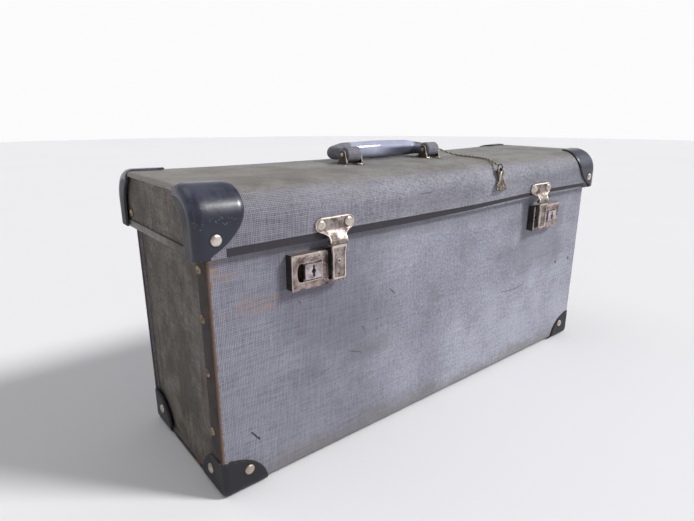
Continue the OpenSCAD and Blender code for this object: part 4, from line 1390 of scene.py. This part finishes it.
def make_lid_wrap():
    """The lid's bent sheet: round long edges, lifted corners, a step for the dark band."""
    band_x = band_high.x
    middle = steps(-LID_X + 5, -band_x - 0.02, 3) + steps(-band_x, band_x, 60)
    middle += steps(band_x + 0.02, LID_X - 5, 3)
    outer, inner, cloth, wear = [], [], [], []
    profile = lid_profile()
    for y, z, ny, nz, run in profile:
        from_rim = min(run, profile[-1][4] - run)
        corner = lerp(8.4, 2.4, smoothstep((from_rim - 59) / 5))
        right = end_columns(LID_X, LID_PANEL_X, corner, WALL)
        cols = [(-x, d) for x, d in right] + [(x, 0.0) for x in middle] + right[::-1]
        out_row, in_row = [], []
        for x, d in cols:
            wave = 0.25 * noise.noise(Vector((x / 80, y / 60, z / 60))) if d == 0 else 0.0
            if z > LID_TOP - 1:
                wave = min(wave, 0.1)
            step = 0.0
            if y < -LID_Y + 0.01 and z < band_high.z - 0.01 and abs(x) <= band_x:
                step = 1.2
            depth = max(d, step) - wave * (step == 0)
            out_row.append(lift_point((x, y - ny * depth, z - nz * depth)))
            deep = max(d, WALL)
            inner_x = math.copysign(min(abs(x), LID_PANEL_X - 1), x)
            in_row.append(lift_point((inner_x, y - ny * deep, z - nz * deep)))
            cloth.append((x + math.copysign(d, x), run, 0.0))
            end_gap = abs(LID_X - 1.2 - abs(x) + d)
            wear.append(max(0.0, 1 - end_gap / 3.0) if d < 3 else 0.4)
        outer.append(out_row)
        inner.append(in_row)
    sheet_piece("lid_sheet", outer, inner, "lid", "lid_wrap", looks["lid_fibre"],
                looks["inside"], cloth, wear)


def make_lid_ends():
    """End panels cut to the lifted shape of the lid, very slightly dished."""
    inner_r = LID_R - WALL
    half = LID_Y - WALL
    crown = LID_TOP - WALL
    ys = [-half + inner_r - inner_r * math.cos(a) for a in steps(0, math.pi / 2, 12)]
    ys += steps(-half + inner_r, 0, 12)[1:]
    ys += [-y for y in reversed(ys[:-1])]
    for side, sign in (("left", -1), ("right", 1)):
        outer, inner = [], []
        for k in steps(0, 1, 14):
            out_row, in_row = [], []
            for y in ys:
                gap = max(0.0, inner_r - (half - abs(y)))
                top = crown - inner_r + math.sqrt(max(0.0, inner_r ** 2 - gap ** 2))
                z = lerp(SEAM_Z, top, k)
                dish = 0.35 * smoothstep(min(half - abs(y), z - SEAM_Z, top - z) / 12)
                point = lift_point((sign * LID_PANEL_X, y, z))
                out_row.append((sign * (LID_PANEL_X - dish), y, point[2]))
                in_row.append((sign * (LID_PANEL_X - WALL), y, point[2]))
            outer.append(out_row)
            inner.append(in_row)
        mesh_piece("lid_end_board_" + side, *closed_shell(outer, inner), "lid",
                   ["lid_end_" + side], "end_fibre", [looks["end_fibre"]], 40)


def make_lid_trim():
    """The dark band, which tapers to the right, and the hems of the lid's ends."""
    height = band_high.z - band_low.z
    outer, inner = [], []
    for rise in (0.0, 0.3, 2.0, height - 0.3, height):
        inset = 0.3 if rise in (0.0, height) else 0.0
        out_row, in_row = [], []
        for x in steps(band_low.x, band_high.x, 80):
            taper = BAND_TAPER * smoothstep((x + 80) / 160) * (1 - rise / height)
            wave = 0.12 * abs(noise.noise(Vector((x / 40, rise / 9, 3.1))))
            z = band_low.z + rise + taper
            out_row.append(lift_point((x, band_low.y + inset + wave, z)))
            in_row.append(lift_point((x, band_high.y, z)))
        outer.append(out_row)
        inner.append(in_row)
    mesh_piece("lid_band_strip", *closed_shell(outer, inner), "lid", ["lid_band_front"],
               "band_dark", [looks["band_dark"]], 40)
    for side in SIDES:
        lift_mesh(softened("lid_hem_" + side, 0.3, "hem_fibre"))


# Locks and hasps --------------------------------------------------------------------------

HASP_T = 1.5        # thickness of a hasp's riveted plate


def hasp_middle(name):
    low, high = node_box("hasp_strap_" + name)
    return (low.x + high.x) / 2


def shade_sheet_piece(name, shape, body, slot):
    """A dark sheet behind an opening: painted shade in the hollow. It stands for no node."""
    mesh_piece(name, *shape, body, [], slot, [looks["hole_shade"]], 30)


def make_lock_case(name, sign):
    """Pressed lock case: a soft-edged face with a bowed window, walls and a strap channel."""
    low, high = node_box("lock_case_" + name)
    button_low, button_high = node_box("lock_button_" + name)
    hasp_x = hasp_middle(name)
    channel = 7.5
    right = channel + 1.5
    left = right - (high.x - low.x)
    base, top = low.z, high.z
    ledge = base + 3.0
    face_y, wall_y = low.y, high.y

    def cut(loops, front_y, back_y, soft):
        """A plate from outlines about the hasp with the button towards -X, in its place."""
        placed = [[(hasp_x + x * sign, z) for x, z in loop] for loop in loops]
        return plate([loop[::sign] for loop in placed], front_y, back_y, soft)

    outline = (
        arc(right - 0.7, base + 0.7, 0.7, -90, 0, 3)
        + arc(right - 0.7, top - 0.7, 0.7, 0, 90, 3)
        + [(channel, top), (channel, ledge + 1.2)]
        + arc(channel - 1.2, ledge + 1.2, 1.2, 0, -90, 3)
        + arc(-channel + 1.2, ledge + 1.2, 1.2, -90, -180, 3)
        + arc(-channel - 2.2, top - 2.2, 2.2, 0, 90, 5)
        + arc(left + 0.9, top - 0.9, 0.9, 90, 180, 3)
        + arc(left + 0.9, base + 0.9, 0.9, 180, 270, 3)
    )
    window_x0, window_x1 = left + 5.8, -channel - 5.8
    window_mid = (button_low.z + button_high.z) / 2
    window_h = 7.2
    z0, z1 = window_mid - window_h, window_mid + window_h
    window = [(window_x1, z0), (window_x1, z1)]
    window += [(window_x0 + 1.6 - 2.6 * math.cos(a), window_mid + window_h * math.sin(a))
               for a in steps(math.pi / 2, -math.pi / 2, 12)]
    window = [(max(x, window_x0 - 1.0), z) for x, z in window]
    hollow = rounded_rect(left + 1.4, base + 1.4, -channel - 1.4, top - 1.4, 0.8)
    channel_floor = rounded_rect(-channel - 0.3, ledge - 0.5, channel + 0.3, top, 0.4)
    shape = joined([cut([outline, window[::-1]], face_y, face_y + 1.4, 0.6),
                    cut([outline, hollow[::-1]], face_y + 1.3, wall_y, 0.05),
                    cut([channel_floor], face_y + 4.0, wall_y, 0.1)])
    case = mesh_piece(f"lock_case_{name}_pressed", *shape, "case", ["lock_case_" + name],
                      "aged_nickel", [looks["lock_nickel"]], 28)
    mark_edges(case, looks["bright_edge"])
    # The side walls, the floor and the channel's floor behind the face take the dark material:
    # painted shade in the case's flanks and channel.
    case.data.materials.append(looks["dark_edge_and_shade"])
    for face in case.data.polygons:
        deep = face.center.y > (face_y + 1.2) * MM
        if deep and (abs(face.normal.x) > 0.5 or face.normal.z < -0.5 or face.normal.y < -0.5):
            face.material_index = 2
    # A dark sheet behind the window: painted shade inside the case.
    behind = rounded_rect(left + 1.3, base + 1.3, -channel - 1.3, top - 1.3, 0.5)
    shade_sheet_piece(f"lock_window_shade_{name}", cut([behind], face_y + 5.6, wall_y + 0.1, 0.05), "case",
               "aged_nickel")


def mark_facing(obj, material, chosen):
    """Gives another material to the faces that chosen, a test of normal and place, picks."""
    obj.data.materials.append(material)
    for face in obj.data.polygons:
        if chosen(face.normal, face.center / MM):
            face.material_index = len(obj.data.materials) - 1


def mark_edges(obj, material):
    """Gives the faces of the rounded edges, which lean, the bright worn metal."""
    obj.data.materials.append(material)
    for face in obj.data.polygons:
        leaning = sorted(abs(c) for c in face.normal)[-1] < 0.94
        if leaning and face.area < 2e-5:
            face.material_index = 1


def make_button(name, sign):
    """Sliding button: a block with a milled top edge, a keyhole and a slide plate."""
    box_low, box_high = node_box("lock_button_" + name)
    face_y = box_low.y
    plate_over = 3.0
    x_far = box_low.x if sign > 0 else box_high.x
    x_near = (box_high.x if sign > 0 else box_low.x) - plate_over * sign
    z0, z1 = box_low.z + plate_over, box_high.z - plate_over
    middle_x, middle_z = (x_far + x_near) / 2, (z0 + z1) / 2
    x0, x1 = min(x_far, x_near), max(x_far, x_near)
    teeth = 9
    top_edge = []
    for i in range(teeth):
        a, b = lerp(x1, x0, i / teeth), lerp(x1, x0, (i + 1) / teeth)
        top_edge += [(a - 0.12, z1), (b + 0.75, z1), (b + 0.55, z1 - 0.55), (b + 0.2, z1 - 0.55)]
    outline = ([(x0 + 0.4, z0), (x1 - 0.4, z0), (x1, z0 + 0.4), (x1, z1 - 0.8)] + top_edge
               + [(x0, z1 - 0.8), (x0, z0 + 0.4)])
    half_keyhole = ((-2.3, 0.0), (-0.95, 2.0), (-0.95, 4.7), (0.95, 4.7), (0.95, 2.0))
    keyhole = [(middle_x + x * flip, middle_z + z * flip)
               for flip in (1, -1) for x, z in half_keyhole]
    block = plate([outline, keyhole[::-1]], face_y, box_high.y - 0.2, 0.18)
    slide = plate([rounded_rect(box_low.x, box_low.z, box_high.x, box_high.z, 0.6)],
                  box_high.y - 1.2, box_high.y, 0.12)
    button = mesh_piece(f"lock_button_{name}_milled", *joined([block, slide]), "button_" + name,
                        ["lock_button_" + name], "button_nickel",
                        [looks["button_nickel"]], 28)
    mark_edges(button, looks["bright_edge"])
    # A dark sheet behind the keyhole: painted shade in the hole.
    dark = plate([rounded_rect(middle_x - 2.8, middle_z - 5.1, middle_x + 2.8,
                               middle_z + 5.1, 0.5)],
                 box_high.y - 1.45, box_high.y - 1.1, 0.05)
    shade_sheet_piece(f"keyhole_shade_{name}", dark, "button_" + name, "button_nickel")


def hasp_half_width(z, lobe_x, lobe_r, lobe_z, neck):
    """Half the width of the hasp plate at a height: two lobes that narrow into a hood."""
    if z >= lobe_z:
        return lobe_x + math.sqrt(max(0.0, lobe_r ** 2 - (z - lobe_z) ** 2))
    below = lobe_z - z
    if below < lobe_r * 0.72:
        return lobe_x + math.sqrt(lobe_r ** 2 - below ** 2)
    start_z = lobe_z - lobe_r * 0.72
    start_w = lobe_x + math.sqrt(lobe_r ** 2 - (lobe_r * 0.72) ** 2)
    t = min(1.0, (start_z - z) / 5.2)
    return lerp(start_w, neck, smoothstep(t) ** 0.75)


def make_hasp(name):
    """Riveted plate with round ends, whose hood swells out over the pin and ends in a roll."""
    low, high = node_box("hasp_plate_" + name)
    hasp_x = hasp_middle(name)
    pin_low, pin_high = node_box("hasp_pin_" + name)
    pin_y, pin_z = (pin_low.y + pin_high.y) / 2, (pin_low.z + pin_high.z) / 2
    lobe_r = 5.6
    lobe_x = (high.x - low.x) / 2 - lobe_r
    lobe_z = high.z - lobe_r
    neck = 8.6
    sheet = 1.3
    roll = pin_y - low.y
    heights = steps(high.z, lobe_z - 4.0, 12) + steps(lobe_z - 4.0, pin_z, 14)[1:]
    columns = [-1, -0.985, -0.95, -0.9] + steps(-0.82, 0.82, 12) + [0.9, 0.95, 0.985, 1]
    outer, inner, wear = [], [], []
    for z in heights:
        half = hasp_half_width(z, lobe_x, lobe_r, lobe_z, neck)
        swell = smoothstep((lobe_z - 3.2 - z) / (lobe_z - 3.2 - pin_z))
        front = lerp(-LID_Y - HASP_T, low.y, swell)
        out_row, in_row = [], []
        for c in columns:
            gap = min(half * (1 - abs(c)), high.z - z)
            ridge = 0.45 * smoothstep(1 - abs(gap - 0.7) / 1.1) * (1 - swell * 0.6)
            lip = 0.5 * smoothstep(1 - abs(swell - 0.25) / 0.2)
            wear.append(max(smoothstep(1.9 - gap), lip))
            drop = 0.5 * (1 - rim_height(gap, 0.5))
            out_row.append((hasp_x + half * c, max(front - ridge + drop, low.y), z))
            in_row.append((hasp_x + half * c, front + sheet, z))
        outer.append(out_row)
        inner.append(in_row)
    for a in steps(0, math.radians(200), 10)[1:]:
        out_row, in_row = [], []
        for c in columns:
            drop = 0.4 * (1 - rim_height(neck * (1 - abs(c)), 0.5))
            wear.append(0.35 if a < 0.7 else 0.0)
            for row, r in ((out_row, roll - drop), (in_row, roll - sheet)):
                row.append((hasp_x + neck * c, pin_y - r * math.cos(a), pin_z - r * math.sin(a)))
        outer.append(out_row)
        inner.append(in_row)
    mesh_piece(f"hasp_plate_{name}_formed", *closed_shell(outer, inner), "lid",
               ["hasp_plate_" + name, "hasp_pin_" + name], "aged_nickel",
               [looks["aged_nickel"]], 38, wear=wear + [0.0] * len(wear))


def make_strap(name):
    """Hanging strap: a plate with a raised U-shaped rim, two eyelets and a staple behind."""
    low, high = node_box("hasp_strap_" + name)
    mid_x = (low.x + high.x) / 2
    half = (high.x - low.x) / 2 + 0.7
    face_y = low.y + 0.7
    back_y = face_y + 1.4
    top = high.z - 6.0
    r = 2.0
    outline = (arc(mid_x + half - r, low.z + r, r, -90, 0, 5)
               + [(mid_x + half * 0.97, top - 6), (mid_x + half + 0.6, top - 1),
                  (mid_x + half + 0.6, top + 1.2)]
               + [(mid_x - half - 0.6, top + 1.2), (mid_x - half - 0.6, top - 1),
                  (mid_x - half * 0.97, top - 6)]
               + arc(mid_x - half + r, low.z + r, r, 180, 270, 5))
    rim_w = 1.35
    inner = (arc(mid_x + half - rim_w - 1.6, low.z + 1.4 + 1.6, 1.6, -90, 0, 5)
             + [(mid_x + half - rim_w, top - 6), (mid_x + half - 0.4, top - 0.8)]
             + [(mid_x - half + 0.4, top - 0.8), (mid_x - half + rim_w, top - 6)]
             + arc(mid_x - half + rim_w + 1.6, low.z + 1.4 + 1.6, 1.6, 180, 270, 5))
    holes = [low.z + 2.6 + 1.4, low.z + 14.6]
    hole_loops = [arc(mid_x, z, 1.0, 360, 24, 14) for z in holes]
    base = plate([outline] + hole_loops, face_y, back_y, 0.15)
    rim = plate([outline, inner[::-1]], low.y, face_y + 0.2, 0.28)
    eye = [(mid_x + 1.5 * math.cos(a), face_y, holes[1] + 1.5 * math.sin(a))
           for a in steps(0, 2 * math.pi, 20)]
    eye_ring = swept_tube(eye, 0.3, 8)
    # Dark plugs in the strap's holes: painted shade in them.
    hole_shade_plugs = [plate([arc(mid_x, z, 1.2, 0, 336, 14)], back_y - 0.5, back_y - 0.05, 0.03)
             for z in holes]
    leaf = plate([rounded_rect(mid_x - half * 0.42, top - 0.5, mid_x + half * 0.42,
                               high.z - 2.2, 0.3)], face_y - 0.2, face_y + 1.0, 0.2)
    pin_low, pin_high = node_box("hasp_pin_" + name)
    pin_y, pin_z = (pin_low.y + pin_high.y) / 2, (pin_low.z + pin_high.z) / 2
    staple = plate([rounded_rect(mid_x - 2, low.z + 9, mid_x + 2, low.z + 13, 0.5)],
                   back_y - 0.1, high.y, 0.3)
    barrel = swept_tube([(mid_x + half * 0.36 * t, pin_y, pin_z) for t in steps(-1, 1, 6)],
                        1.9, 20)
    shape = joined([base, rim, eye_ring, leaf, staple, barrel])
    strap = mesh_piece(f"hasp_strap_{name}_formed", *shape, "hasp_" + name,
                       ["hasp_strap_" + name], "aged_nickel", [looks["aged_nickel"]], 30)
    mark_edges(strap, looks["bright_edge"])
    for face in strap.data.polygons:
        if face.center.y < (face_y - 0.2) * MM and face.center.z < (top + 1) * MM:
            face.material_index = 1
    shade_sheet_piece(f"hasp_hole_shade_{name}", joined(hole_shade_plugs), "hasp_" + name, "aged_nickel")


def make_locks():
    for name, sign in (("left", 1), ("right", -1)):
        make_lock_case(name, sign)
        make_button(name, sign)
        make_hasp(name)
        make_strap(name)


# Handle ------------------------------------------------------------------------------------

GRIP_SMOOTH = (-38.0, 53.0)    # the covering has worn smooth between these places


def make_grip():
    """The grip's packed hulls melted into one smooth moulding; its bends are knurled."""
    obj = packed_copy("handle_grip", "handle_grip_smooth")
    melt = obj.modifiers.new("melt", "REMESH")
    melt.mode = "VOXEL"
    melt.voxel_size = 0.9 * MM
    relax = obj.modifiers.new("relax", "SMOOTH")
    relax.factor = 0.5
    relax.iterations = 14
    apply_modifiers(obj)
    obj.data.materials.append(looks["grip_plastic"])
    obj.data.materials.append(looks["knuckle_wrap"])
    low, high = node_box("handle_grip")
    middle_x = (low.x + high.x) / 2
    for face in obj.data.polygons:
        place = face.center.x / MM - middle_x
        face.material_index = 0 if GRIP_SMOOTH[0] < place < GRIP_SMOOTH[1] else 1
    finish_piece(obj, "handle", ["handle_grip"], "grip_plastic", [], 80)


def make_handle():
    make_grip()
    for side in SIDES:
        softened("handle_knuckle_" + side, 1.1, "knuckle_wrap", segments=4)
        bracket = softened("handle_bracket_" + side, 0.28, "bracket_steel", "bright_edge")
        ear_z = node_box("handle_bracket_" + side)[0].z + 2
        mark_facing(bracket, looks["bright_edge"],
                    lambda normal, place: normal.y < -0.4 and place.z > ear_z)
        softened("handle_pin_" + side, 0.5, "brass_rivet", segments=3)


# Hinges and tray ----------------------------------------------------------------------------


def make_hinges():
    for side in SIDES:
        for node in ("hinge_body_leaf_", "hinge_lid_leaf_"):
            softened(node + side, 0.3, "hinge_steel", "aged_nickel")
        softened("hinge_pin_" + side, 0.3, "hinge_steel")


def make_tray():
    for node in ("tray_shell", "tray_long_divider", "tray_cross_dividers"):
        softened(node, 0.5, "tray_wood")


add_camera()
looks = make_materials()
add_cord_and_keys()
add_light()
add_floor(looks["floor"])
make_body_wrap()
make_body_ends()
make_collar()
make_lid_wrap()
make_lid_ends()
make_lid_trim()
make_caps()
make_rivets()
make_locks()
make_handle()
make_hinges()
make_tray()
